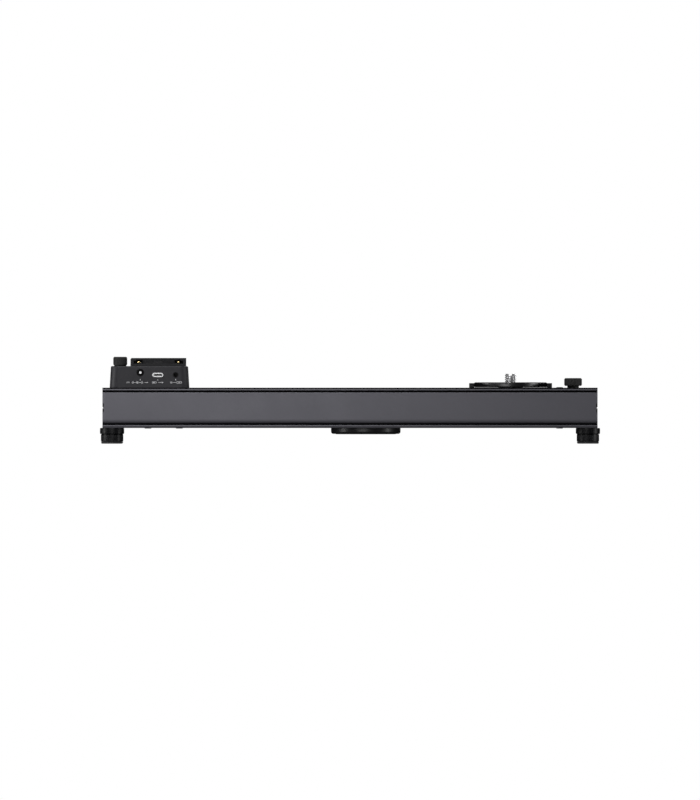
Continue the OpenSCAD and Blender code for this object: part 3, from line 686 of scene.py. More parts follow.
def carve(piece: bpy.types.Object, cutters: Sequence[bpy.types.Object],
          crease: float = 38.0) -> bpy.types.Object:
    """Cuts shapes out of a piece.

    Args:
        piece: What is cut.
        cutters: Closed shapes; they are removed.
        crease: Angle in degrees past which edges stay sharp.

    Returns:
        The cut piece under the same name.
    """
    name = piece.name
    piece.name = name + "_uncut"
    for cutter in cutters:
        cut = piece.modifiers.new("cut", "BOOLEAN")
        cut.object = cutter
        cut.operation = "DIFFERENCE"
        cut.solver = "EXACT"
    bpy.context.view_layer.update()
    result = bake(piece, name, crease)
    for cutter in cutters:
        bpy.data.objects.remove(cutter)
    return result


class Pattern:
    """A Geometry Nodes tree with named inputs that is run once and leaves a plain mesh."""

    def __init__(self, name: str) -> None:
        """Starts a tree with geometry in and out.

        Args:
            name: The tree's name.
        """
        self.tree = bpy.data.node_groups.new(name, "GeometryNodeTree")
        self.tree.interface.new_socket("Geometry", in_out="INPUT", socket_type="NodeSocketGeometry")
        self.tree.interface.new_socket("Geometry", in_out="OUTPUT", socket_type="NodeSocketGeometry")
        self.source = self.tree.nodes.new("NodeGroupInput")
        self.sink = self.tree.nodes.new("NodeGroupOutput")
        self.values: dict[str, object] = {}

    def input(self, name: str, kind: str, value: object):
        """Adds a named input.

        Args:
            name: The input's name.
            kind: Float, Int, Vector, Object or Material.
            value: What it is set to when the tree runs.

        Returns:
            The socket inside the tree.
        """
        socket = self.tree.interface.new_socket(name, in_out="INPUT", socket_type="NodeSocket" + kind)
        self.values[socket.identifier] = value
        return self.source.outputs[name]

    def add(self, kind: str, links: dict[str, object] | None = None, **settings: object):
        """Adds a node.

        Args:
            kind: The node's type name.
            links: Sockets to connect, or values to set, by input name.
            settings: The node's own attributes.

        Returns:
            The new node.
        """
        node = self.tree.nodes.new(kind)
        for key, value in settings.items():
            setattr(node, key, value)
        for name, value in (links or {}).items():
            if isinstance(value, bpy.types.NodeSocket):
                self.tree.links.new(value, node.inputs[name])
            else:
                node.inputs[name].default_value = value
        return node

    def run(self, base: bpy.types.Object, geometry, finish: Finish, name: str) -> bpy.types.Object:
        """Runs the tree on an object and keeps only the resulting mesh.

        Args:
            base: The object that carries the points; it is removed.
            geometry: The last geometry socket.
            finish: The finish that the mesh is set to.
            name: The new piece's name.

        Returns:
            The plain mesh object.
        """
        dressed = self.input("Finish", "Material", finish.material())
        real = self.add("GeometryNodeRealizeInstances", {"Geometry": geometry})
        last = self.add("GeometryNodeSetMaterial", {"Geometry": real.outputs[0], "Material": dressed})
        self.tree.links.new(last.outputs[0], self.sink.inputs[0])
        modifier = base.modifiers.new("pattern", "NODES")
        modifier.node_group = self.tree
        for identifier, value in self.values.items():
            modifier[identifier] = value
        bpy.context.view_layer.update()
        return bake(base, name, 50.0)


def points_object(name: str, points: Sequence[Sequence[float]]) -> bpy.types.Object:
    """An object whose loose vertices are points in millimetres."""
    data = bpy.data.meshes.new(name)
    data.from_pydata([[c * MM for c in p] for p in points], [], [])
    return link(name, data)


def copies(name: str, shape: bpy.types.Object, points: Sequence[Sequence[float]],
           finish: Finish) -> bpy.types.Object:
    """Sets one copy of a shape at each point.

    Args:
        name: The new piece's name.
        shape: The shape, built about the origin; it is removed.
        points: Where the copies go, in millimetres.
        finish: The finish of the copies.

    Returns:
        All copies as one plain mesh.
    """
    pattern = Pattern(name + "_pattern")
    source = pattern.input("Shape", "Object", shape)
    info = pattern.add("GeometryNodeObjectInfo", {"Object": source, "As Instance": True})
    spots = pattern.add("GeometryNodeMeshToPoints", {"Mesh": pattern.source.outputs["Geometry"]})
    placed = pattern.add("GeometryNodeInstanceOnPoints",
                         {"Points": spots.outputs[0], "Instance": info.outputs["Geometry"]})
    result = pattern.run(points_object(name + "_points", points), placed.outputs[0], finish, name)
    bpy.data.objects.remove(shape)
    return result


def ring_of_ribs(name: str, centre: Sequence[float], radius: float, count: int, rib: Sequence[float],
                 finish: Finish, start: float = 0.0) -> bpy.types.Object:
    """Sets upright rounded ribs in a circle about an upright axis.

    Args:
        name: The new piece's name.
        centre: (x, y, z) of the ring.
        radius: Distance of the ribs' middles from the axis.
        count: Number of ribs.
        rib: Depth across the ring, width along it, and height.
        finish: The finish of the ribs.
        start: Angle of the first rib, in degrees.

    Returns:
        All ribs as one plain mesh.
    """
    pattern = Pattern(name + "_pattern")
    ring = pattern.add("GeometryNodeMeshCircle", {
        "Vertices": pattern.input("Count", "Int", count),
        "Radius": pattern.input("Radius", "Float", radius * MM),
    })
    place = pattern.add("GeometryNodeInputPosition")
    turn = pattern.add("FunctionNodeAlignRotationToVector", {"Vector": place.outputs[0]}, axis="X",
                       pivot_axis="Z")
    bar = pattern.add("GeometryNodeMeshCylinder", {
        "Vertices": 8,
        "Radius": 0.5,
        "Depth": 1.0,
    })
    sized = pattern.add("GeometryNodeTransform", {
        "Geometry": bar.outputs["Mesh"],
        "Scale": pattern.input("Rib size", "Vector", [c * MM for c in rib]),
    })
    placed = pattern.add("GeometryNodeInstanceOnPoints", {
        "Points": ring.outputs[0],
        "Instance": sized.outputs[0],
        "Rotation": turn.outputs[0],
    })
    moved = pattern.add("GeometryNodeTransform", {
        "Geometry": placed.outputs[0],
        "Translation": pattern.input("Centre", "Vector", [c * MM for c in centre]),
        "Rotation": (0, 0, math.radians(start)),
    })
    return pattern.run(points_object(name + "_base", [(0, 0, 0)]), moved.outputs[0], finish, name)


def crease_tree() -> bpy.types.NodeTree:
    """The tree that keeps edges sharp past an angle; it is built once."""
    known = bpy.data.node_groups.get("sharp_creases")
    if known:
        return known
    pattern = Pattern("sharp_creases")
    angle = pattern.add("GeometryNodeInputMeshEdgeAngle")
    gentle = pattern.add("FunctionNodeCompare", {"A": angle.outputs["Unsigned Angle"], "B": math.radians(38)},
                         data_type="FLOAT", operation="LESS_THAN")
    shaded = pattern.tree.nodes.new("GeometryNodeSetShadeSmooth")
    shaded.domain = "EDGE"
    pattern.tree.links.new(pattern.source.outputs[0], shaded.inputs[0])
    pattern.tree.links.new(gentle.outputs[0], shaded.inputs["Shade Smooth"])
    pattern.tree.links.new(shaded.outputs[0], pattern.sink.inputs[0])
    return pattern.tree


def level_normals(piece: bpy.types.Object) -> None:
    """Lets large flat faces keep their own direction beside their roundings."""
    weights = piece.modifiers.new("normals", "WEIGHTED_NORMAL")
    weights.keep_sharp = True
    weights.weight = 90


def fit(piece: bpy.types.Object, body: str, finish: Finish, *nodes: str) -> bpy.types.Object:
    """Dresses a finished piece and ties it to its body.

    Args:
        piece: The piece.
        body: The body it moves with.
        finish: Its finish.
        nodes: The CAD nodes that it stands for.

    Returns:
        The piece.
    """
    piece.data.materials.clear()
    piece.data.materials.append(finish.material())
    level_normals(piece)
    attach(piece, body)
    if nodes:
        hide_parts(*nodes)
    LOG.info("built %s on %s", piece.name, body)
    return piece


def keep(node: str, finish: Finish, edge: float = 0.0, segments: int = 2) -> bpy.types.Object:
    """Keeps a CAD node's shape, dresses it and rounds its edges.

    Args:
        node: The node's name.
        finish: Its finish.
        edge: Width of the rounding of its edges, in millimetres.
        segments: Faces across the rounding.

    Returns:
        The node's object.
    """
    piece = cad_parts[node]
    piece.data.materials.clear()
    piece.data.materials.append(finish.material())
    for face in piece.data.polygons:
        face.material_index = 0
        face.use_smooth = True
    weld = piece.modifiers.new("weld", "WELD")
    weld.merge_threshold = 2e-6
    flat = piece.modifiers.new("flat", "DECIMATE")
    flat.decimate_type = "DISSOLVE"
    flat.angle_limit = math.radians(0.6)
    if edge > 0:
        bevel = piece.modifiers.new("edges", "BEVEL")
        bevel.width = edge * MM
        bevel.segments = segments
        bevel.limit_method = "ANGLE"
        bevel.angle_limit = math.radians(34)
        bevel.use_clamp_overlap = True
    creases = piece.modifiers.new("creases", "NODES")
    creases.node_group = crease_tree()
    level_normals(piece)
    LOG.info("kept %s", node)
    return piece


def join(name: str, pieces: Sequence[bpy.types.Object], crease: float = 38.0) -> bpy.types.Object:
    """Joins several plain objects into one.

    Args:
        name: The new object's name.
        pieces: The objects; they are removed.
        crease: Angle in degrees past which edges stay sharp.

    Returns:
        The joined object.
    """
    work = bmesh.new()
    for piece in pieces:
        work.from_mesh(piece.data)
        bpy.data.objects.remove(piece)
    shade(work, crease)
    data = bpy.data.meshes.new(name)
    work.to_mesh(data)
    work.free()
    return link(name, data)


def tint(piece: bpy.types.Object, finish: Finish, chosen: Callable[[Vector], bool]) -> None:
    """Gives some faces of a piece a second finish.

    Args:
        piece: The piece, already dressed.
        finish: The second finish.
        chosen: Says from a face's middle, in millimetres, whether it gets the second finish.
    """
    piece.data.materials.append(finish.material())
    for face in piece.data.polygons:
        if chosen(face.center / MM):
            face.material_index = len(piece.data.materials) - 1


def drill(x: float, y: float, low: float, high: float, r: float, axis: Axis = Axis.Z) -> bpy.types.Object:
    """A round cutter.

    Args:
        x: First coordinate across the axis.
        y: Second coordinate across the axis.
        low: Start along the axis.
        high: End along the axis.
        r: Radius.
        axis: The direction of the hole.

    Returns:
        The cutter.
    """
    return Form().prism(circle(x, y, r), axis, low, high).object("cutter")


def slab(low: Sequence[float], high: Sequence[float]) -> bpy.types.Object:
    """A square-edged cutter between two corners."""
    return Form().block(low, high).object("cutter")


@dataclass(frozen=True)
class Thread:
    """A screw thread: a crest that climbs round an upright axis."""

    major: float
    depth: float
    pitch: float
    segments: int = 48
    levels: int = 9  # rings in one pitch

    def rows(self, form: Form, centre: Sequence[float], low: float, high: float,
             run_out: float = 0.5) -> list[list[bmesh.types.BMVert]]:
        """Adds the thread's rings.

        Args:
            form: The mesh that they are added to.
            centre: (x, y) of the axis.
            low: Height where the thread starts.
            high: Height where it ends.
            run_out: Share of a pitch over which the crest fades in at its start.

        Returns:
            The rings from low to high.
        """
        count = round((high - low) / self.pitch * self.levels)
        rings = []
        for i in range(count + 1):
            z = low + (high - low) * i / count
            fade = min(1.0, (z - low) / (self.pitch * run_out))
            ring = []
            for k in range(self.segments):
                a = 2 * math.pi * k / self.segments
                phase = (z / self.pitch - k / self.segments) % 1
                crest = max(0.0, min(1.0, (abs(2 * phase - 1) - 0.14) / 0.68))
                r = min(self.major - self.depth * (1 - crest * fade), self.major - 0.55 + (high - z) * 0.9)
                ring.append((centre[0] + r * math.cos(a), centre[1] + r * math.sin(a), z))
            rings.append(form.ring(ring))
        return rings


@dataclass(frozen=True)
class Screw:
    """A screw with a hexagon socket in its head, its seat at the origin and its shank below."""

    head_r: float
    head_h: float
    shank_r: float
    length: float
    socket_r: float = 1.1
    sunk: bool = False  # a countersunk head lies below its seat

    def shape(self, name: str, up: bool = True) -> bpy.types.Object:
        """Builds the screw.

        Args:
            name: The object's name.
            up: Whether the head is on top.

        Returns:
            The screw, about the origin.
        """
        edge = 0.22
        top = 0.0 if self.sunk else self.head_h
        seat = [(self.shank_r, -self.head_h), (self.head_r, -edge)] if self.sunk else [
            (self.shank_r, 0), (self.head_r - edge / 2, 0), (self.head_r, edge / 2)]
        profile = [(0, -self.length), (self.shank_r - edge, -self.length), (self.shank_r, edge - self.length)]
        profile += seat + [(self.head_r, top - edge), (self.head_r - edge, top)]
        flip = 1 if up else -1
        form = Form()
        sides = 24
        rings = [form.ring([(*p, z * flip) for p in circle(0, 0, r, sides if r > 0 else 1)])
                 for r, z in profile]
        floor = top - min(0.62 * (self.head_h + self.length * 0.1), 1.2)
        for z in (top, floor):
            hexagon = []
            for a in (2 * math.pi * k / sides for k in range(sides)):
                r = self.socket_r / math.cos((a + math.pi / 6) % (math.pi / 3) - math.pi / 6)
                hexagon.append((r * math.cos(a), r * math.sin(a), z * flip))
            rings.append(form.ring(hexagon))
        rings.append(form.ring([(0, 0, (floor - 0.15) * flip)]))
        form.bridge(rings)
        return form.object(name)


def four(centre: Sequence[float], dx: float, dy: float, z: float) -> list[tuple[float, float, float]]:
    """Four points at the corners of a rectangle about a centre, at one height."""
    return [(centre[0] + a * dx, centre[1] + b * dy, z) for a in (-1, 1) for b in (-1, 1)]


# ---------------------------------------------------------------------------------------------
# Sub-assemblies


@dataclass
class Rail:
    """The extruded channel with its end plates, buffer strips and guide rods."""

    wall: float = 4.0
    floor: float = 3.0
    lip: float = 3.0
    mouth: float = 30.0  # half the width of the open top
    groove: float = 1.4
    low_bead: float = 2.4
    top_bead: float = 2.3
    lip_black: float = 1.05  # height of the black edge of the lips
    face_start: float = 4.0  # above the underside
    face_end: float = 3.95  # below the top
    sweep: float = 3.6  # height of the face's lower rounding
    rib: tuple[float, float] = (32.0, 4.5)  # the rod rib's inner face, and half its height
    screw_hole: float = 1.6  # radii of the holes
    foot_hole: float = 4.22
    tripod_screw_hole: float = 2.1
    small_thread_hole: float = 3.2
    large_thread_hole: float = 8.02
    box: Bounds = field(default_factory=lambda: Bounds.of("rail"))

    def outer(self) -> list[Corner]:
        """The corners of one side from the underside to the top, as (y, z, radius)."""
        half, low, high = self.box.high.y, self.box.low.z, self.box.high.z
        inner = half - self.groove
        foot = low + self.face_start
        corners: list[Corner] = [
            (half - 0.6, low, 0.3), (half, low + 1.5, 0.5), (half, low + self.low_bead, 0.3),
            (inner, low + self.low_bead, 0.25), (inner, foot, 0.0),
        ]
        for k in range(1, 11):
            a = math.pi / 2 * k / 10
            corners.append((inner + self.groove * math.sin(a), foot + self.sweep * (1 - math.cos(a)), 0.0))
        corners += [
            (half, high - self.face_end, 0.3), (inner, high - self.face_end, 0.0),
            (inner, high - self.top_bead, 0.0), (half, high - self.top_bead, 0.3),
            (half, high - self.lip_black, 0.0),
            (half, high, 0.35),
        ]
        return corners

    def section(self) -> list[Point2]:
        """The closed section of the channel, in the YZ plane."""
        low, high = self.box.low.z, self.box.high.z
        rods = Bounds.of("guide_rods")
        rod_z = rods.centre.z
        rod_r = rods.size.z / 2 + 0.02
        rib_y, rib_half = self.rib
        inside = self.box.high.y - self.wall
        right = self.outer() + [
            (self.mouth, high, 0.4), (self.mouth, high - self.lip, 0.4), (inside, high - self.lip, 0.5),
            (inside, rod_z + rib_half, 0.5), (rib_y, rod_z + rib_half, 0.4),
        ]
        for k in range(13):
            a = math.pi / 2 - math.pi * k / 12
            right.append((rib_y + rod_r * math.cos(a), rod_z + rod_r * math.sin(a), 0.0))
        right += [(rib_y, rod_z - rib_half, 0.4), (inside, rod_z - rib_half, 0.5),
                  (inside, low + self.floor, 0.8)]
        left = [(-y, z, r) for y, z, r in reversed(right)]
        return fillet(right + left, True, 6)

    def channel(self) -> None:
        """Draws out the channel and drills its holes."""
        rail = Form().prism(self.section(), Axis.X, self.box.low.x, self.box.high.x).object("rail_extrusion")
        low, floor = self.box.low.z - 1, self.box.low.z + self.floor + 1
        tripod = Bounds.of("tripod_plate").centre
        motor = Bounds.of("drive_motor").centre
        shell = Bounds.of("control_box").centre
        idler = Bounds.of("idler_block")
        foot = Bounds.of("foot_cup_front_right").centre
        holes = [(x, y, low, floor, self.screw_hole) for x, y, _ in four(motor, 13, 13, 0)]
        holes += [(x, y, low, floor, self.foot_hole) for x, y, _ in four((0, 0), foot.x, foot.y, 0)]
        holes += [(x, y, low, floor, self.tripod_screw_hole) for x, y, _ in four(tripod, 18, 18, 0)]
        top = self.box.high.z
        holes += [(x, y, top - 4, top + 1, self.screw_hole) for x, y, _ in four(shell, 25, 33.5, 0)]
        holes += [(idler.low.x + 5.4, y, low, floor, self.screw_hole) for y in (-20, 20)]
        holes += [(tripod.x + x, 0, low, floor, self.small_thread_hole) for x in (-11.5, 11.5)]
        holes.append((tripod.x, 0, low, floor, self.large_thread_hole))
        rail = carve(rail, [drill(x, y, a, b, r) for x, y, a, b, r in holes], 30)
        # Painted shade: the grooves take the near-black colour; the top band of the lips takes it too.
        tint(fit(rail, "root", RAIL_GREY, "rail"), GROOVE_SHADE_LIP_BLACK, self.groove_shade_or_black_lip)

    def groove_shade_or_black_lip(self, spot: Vector) -> bool:
        """Says whether a place gets the near-black colour: the grooves, where it is painted shade, and the
        top band of the lips.
        """
        low, high = self.box.low.z, self.box.high.z
        if abs(spot.y) < self.mouth - 0.3:
            return False
        grooves = ((high - self.lip_black, high + 1),
                   (high - self.face_end + 0.1, high - self.top_bead - 0.1),
                   (low + self.low_bead - 0.1, low + self.face_start))
        return spot.z > grooves[0][0] or (abs(spot.y) > self.box.high.y - self.groove - 0.1 and any(
            a < spot.z < b for a, b in grooves[1:]))

    def plates(self) -> None:
        """Cuts both end plates with grooves for the strips and plain screw holes."""
        outer = self.outer()
        outline = fillet(outer + [(-y, z, r) for y, z, r in reversed(outer)], True, 6)
        strips = Bounds.of("end_buffer_strips")
        screws = Bounds.of("end_plate_screws")
        for node, side in (("end_plate_left", -1), ("end_plate_right", 1)):
            box = Bounds.of(node)
            face = side * max(abs(box.low.x), abs(box.high.x))
            plate = Form().prism(outline, Axis.X, box.low.x, box.high.x).object(node + "_milled")
            cutters = []
            for z in (strips.low.z + strips.size.z * 0.29, strips.high.z - strips.size.z * 0.29):
                cutters.append(drill(face + side * 1.385, z, -45, 45, 2.69, Axis.Y))
            for y, z, _ in four((0, screws.centre.z), 38, screws.size.z / 2 - 1.85, 0):
                cutters.append(drill(y, z, box.low.x - 1, box.high.x + 1, 1.15, Axis.X))
            # Painted shade: the end plates' grooves take the same near-black colour as the rail's; so does
            # the top band of their lips.
            tint(fit(carve(plate, cutters, 30), "root", END_GREY, node), GROOVE_SHADE_LIP_BLACK, self.groove_shade_or_black_lip)

    def build(self) -> None:
        """Builds and dresses the rail, its ends and its rods."""
        self.channel()
        self.plates()
        keep("end_plate_screws", SCREW_BLACK)
        keep("end_buffer_strips", RUBBER)
        keep("guide_rods", ROD_STEEL, 0.35)


@dataclass
class Feet:
    """Four levelling feet: a fixed knurled socket, a cup on a threaded stud, and a rubber pad."""

    socket_ribs: int = 44
    cup_ribs: int = 64
    rib_depth: float = 0.36
    stud: Thread = Thread(2.93, 0.5, 1.0, 28, 6)

    def sockets(self) -> None:
        """Turns the four sockets under the rail and sets their knurling."""
        box = Bounds.of("foot_sockets")
        foot = Bounds.of("foot_cup_front_right")
        low, high, top = box.low.z, Bounds.of("rail").low.z, box.high.z
        outer = box.high.x - foot.centre.x
        body = outer - self.rib_depth / 2
        pieces = []
        for x, y, _ in four((0, 0), foot.centre.x, foot.centre.y, 0):
            profile = fillet([
                (3.0, low, 0.2), (body, low, 0.45), (body, high, 0.3), (4.2, high, 0.0), (4.2, top, 0.3),
                (3.0, top, 0.2),
            ], True, 3)
            pieces.append(Form().lathe(profile, (x, y), 96, True).object("socket"))
            height = high - low - 1.3
            pieces.append(ring_of_ribs("socket_knurl", (x, y, (low + high) / 2), body, self.socket_ribs,
                                       (self.rib_depth, 0.62, height), FOOT_BLACK))
        fit(join("foot_sockets_knurled", pieces), "root", FOOT_BLACK, "foot_sockets")

    def cup(self, corner: str) -> None:
        """Turns one cup with its stud, and its pad.

        Args:
            corner: Which foot it is, such as front_left.
        """
        box, pad = Bounds.of("foot_cup_" + corner), Bounds.of("foot_pad_" + corner)
        centre = box.centre
        body = box.size.x / 2 - self.rib_depth / 4
        rim = Bounds.of("foot_sockets").low.z - 0.1
        hollow = pad.high.z + 0.3
        profile = fillet([
            (0.0, hollow, 0.0), (2.6, hollow, 0.0), (2.6, box.low.z, 0.0), (body, box.low.z, 0.55),
            (body, rim, 0.45), (0.0, rim, 0.0),
        ], False, 4)
        turned = Form().lathe(profile, centre).object("cup")
        ribs = ring_of_ribs("cup_knurl", (centre.x, centre.y, (box.low.z + rim) / 2), body, self.cup_ribs,
                            (self.rib_depth / 3, 0.5, rim - box.low.z - 1.6), FOOT_BLACK)
        form = Form()
        rings = [form.ring([(centre.x, centre.y, rim - 0.4)])]
        rings += self.stud.rows(form, centre, rim - 0.4, box.high.z)
        form.bridge(rings + [form.ring([(centre.x, centre.y, box.high.z)])])
        cup = join("foot_cup_turned_" + corner, [turned, ribs, form.object("stud")])
        fit(cup, "foot_" + corner, FOOT_BLACK, "foot_cup_" + corner)
        r = pad.size.x / 2
        sole = [(0.0, 0.35, 0.0)]
        for k in range(5):
            inner = 1.4 + k * 1.45
            sole += [(inner, 0.35, 0.0), (inner + 0.2, 0.0, 0.0), (inner + 0.85, 0.0, 0.0),
                     (inner + 1.05, 0.35, 0.0)]
        rise = box.low.z - 0.05
        sole += [(r - 0.5, 0.0, 0.0), (r, 0.5, 0.25), (r, rise, 0.2), (2.5, rise, 0.0),
                 (2.5, pad.high.z, 0.3),
                 (0.0, pad.high.z, 0.0)]
        rubber = Form().lathe(fillet(sole, False, 3), centre).object("foot_pad_moulded_" + corner)
        fit(rubber, "foot_lift_" + corner, RUBBER, "foot_pad_" + corner)

    def build(self) -> None:
        """Builds all feet."""
        self.sockets()
        for corner in ("front_left", "front_right", "rear_left", "rear_right"):
            self.cup(corner)


@dataclass
class TripodPlate:
    """The round plate under the rail: three plain holes for tripod screws and a rubber ring."""

    small_x: float = 11.5
    screw_x: float = 18.0

    def build(self) -> None:
        """Turns the plate, drills it and lays the ring in its groove."""
        box, pad = Bounds.of("tripod_plate"), Bounds.of("tripod_pad")
        rail_low = Bounds.of("rail").low.z
        x, y = box.centre.x, box.centre.y
        r, low, top = box.size.x / 2, box.low.z, box.high.z
        ring_in, ring_out = 14.9, pad.size.x / 2 + 0.1
        profile = fillet([
            (0.0, top - 1.5, 0.0), (3.97, top - 1.5, 0.0), (3.97, low + 0.5, 0.0), (4.5, low, 0.0),
            (ring_in, low, 0.15), (ring_in, low + 0.7, 0.0), (ring_out, low + 0.7, 0.0),
            (ring_out, low, 0.15),
            (r - 0.1, low, 1.9), (r, low + 2.6, 0.0), (r, rail_low, 0.3), (8.0, rail_low, 0.0),
            (8.0, top, 0.3),
            (0.0, top, 0.0),
        ], False, 6)
        plate = Form().lathe(profile, (x, y), 128).object("tripod_plate_turned")
        cutters = [drill(x + s * self.small_x, y, low - 1, rail_low + 1, 2.55) for s in (-1, 1)]
        cutters += [drill(px, py, low + 1.5, rail_low + 1, 2.0)
                    for px, py, _ in four((x, y), self.screw_x, self.screw_x, 0)]
        plate = carve(plate, cutters, 32)
        fit(plate, "root", TRIPOD_BLACK, "tripod_plate")
        groove = [(pad.size.x / 2, pad.low.z + 0.3, 0.1), (pad.size.x / 2, pad.high.z, 0.0),
                  (15.0, pad.high.z, 0.0),
                  (15.0, pad.low.z + 0.3, 0.1)]
        steps = 9
        width = (pad.size.x / 2 - 15.0) / steps
        for k in range(steps):
            start = 15.0 + k * width
            groove += [(start + 0.3 * width, pad.low.z, 0.0), (start + 0.7 * width, pad.low.z, 0.0)]
            if k < steps - 1:
                groove.append((start + width, pad.low.z + 0.3, 0.0))
        ring = Form().lathe(fillet(groove, True, 2), (x, y), 96, True).object("tripod_pad_ribbed")
        fit(ring, "root", RUBBER, "tripod_pad")


@dataclass
class Marks:
    """Generic white pictograms, printed on the control box in front of each socket."""

    line: float = 0.3
    thick: float = 0.05
    face_y: float = 0.0
    form: Form = field(default_factory=Form)

    def area(self, outline: Sequence[Point2]) -> None:
        """Prints one convex area given in the XZ plane."""
        self.form.prism(outline, Axis.Y, self.face_y - self.thick, self.face_y + self.thick / 2)

    def stroke(self, x0: float, z0: float, x1: float, z1: float, width: float = 0.0) -> None:
        """Prints a straight stroke from one point to another."""
        start, end = Vector((x0, z0)), Vector((x1, z1))
        side = (end - start).normalized().orthogonal() * (width or self.line) / 2
        self.area([tuple(p) for p in (start - side, end - side, end + side, start + side)])

    def arc(self, x: float, z: float, r: float, start: float = 0.0, end: float = 360.0) -> None:
        """Prints a round stroke about (x, z) from one angle to another, in degrees."""
        steps = max(6, round((end - start) / 24))
        for quad in arc_quads(x, z, (r - self.line / 2, r + self.line / 2), start, end, steps):
            self.area(quad)

    def power_inlet(self, x: float, z: float) -> None:
        """Direct current sign, and a plug with its positive centre, minus to the left."""
        self.stroke(x - 8.9, z + 0.35, x - 6.3, z + 0.35)
        for k in range(3):
            self.stroke(x - 8.9 + k, z - 0.35, x - 8.3 + k, z - 0.35)
        self.arc(x - 3.6, z, 0.72)
        self.stroke(x - 4.0, z, x - 3.2, z, 0.22)
        self.stroke(x - 2.7, z, x - 0.75, z)
        self.arc(x + 0.1, z, 0.75, 40, 320)
        self.area(circle(x + 0.1, z, 0.32, 12))
        self.stroke(x + 0.4, z, x + 3.0, z)
        self.arc(x + 3.9, z, 0.72)
        self.stroke(x + 3.5, z, x + 4.3, z, 0.22)
        self.stroke(x + 3.9, z - 0.4, x + 3.9, z + 0.4, 0.22)
        self.stroke(x + 6.0, z, x + 8.2, z)
        self.area([(x + 8.0, z - 0.6), (x + 9.0, z), (x + 8.0, z + 0.6)])

    def power_outlet(self, x: float, z: float) -> None:
        """A battery with an arrow that leaves it."""
        for x0, z0, x1, z1 in ((-4.6, -0.65, -1.4, -0.65), (-4.6, 0.65, -1.4, 0.65), (-4.6, -0.8, -4.6, 0.8),
                               (-1.4, -0.8, -1.4, 0.8), (-1.0, -0.35, -1.0, 0.35)):
            self.stroke(x + x0, z + z0, x + x1, z + z1, 0.26)
        self.stroke(x - 4.0, z, x - 2.6, z, 0.6)
        self.stroke(x + 0.4, z, x + 3.6, z)
        self.area([(x + 3.4, z - 0.75), (x + 4.7, z), (x + 3.4, z + 0.75)])

    def shutter(self, x: float, z: float) -> None:
        """A release button on its lead, and a round iris."""
        self.arc(x - 3.6, z, 0.72)
        self.area(circle(x - 3.6, z, 0.3, 12))
        self.stroke(x - 2.7, z, x + 1.0, z)
        self.stroke(x + 1.0, z - 0.7, x + 1.0, z + 0.7)
        self.stroke(x + 1.0, z + 0.65, x + 4.9, z + 0.65)
        self.stroke(x + 1.0, z - 0.65, x + 4.9, z - 0.65)
        self.stroke(x + 4.9, z - 0.7, x + 4.9, z + 0.7)
        self.arc(x + 2.95, z, 0.42)

    def pointer(self, x: float, z: float) -> None:
        """A small arrow head up at a socket."""
        self.area([(x - 0.45, z - 0.65), (x + 0.45, z - 0.65), (x, z + 0.65)])


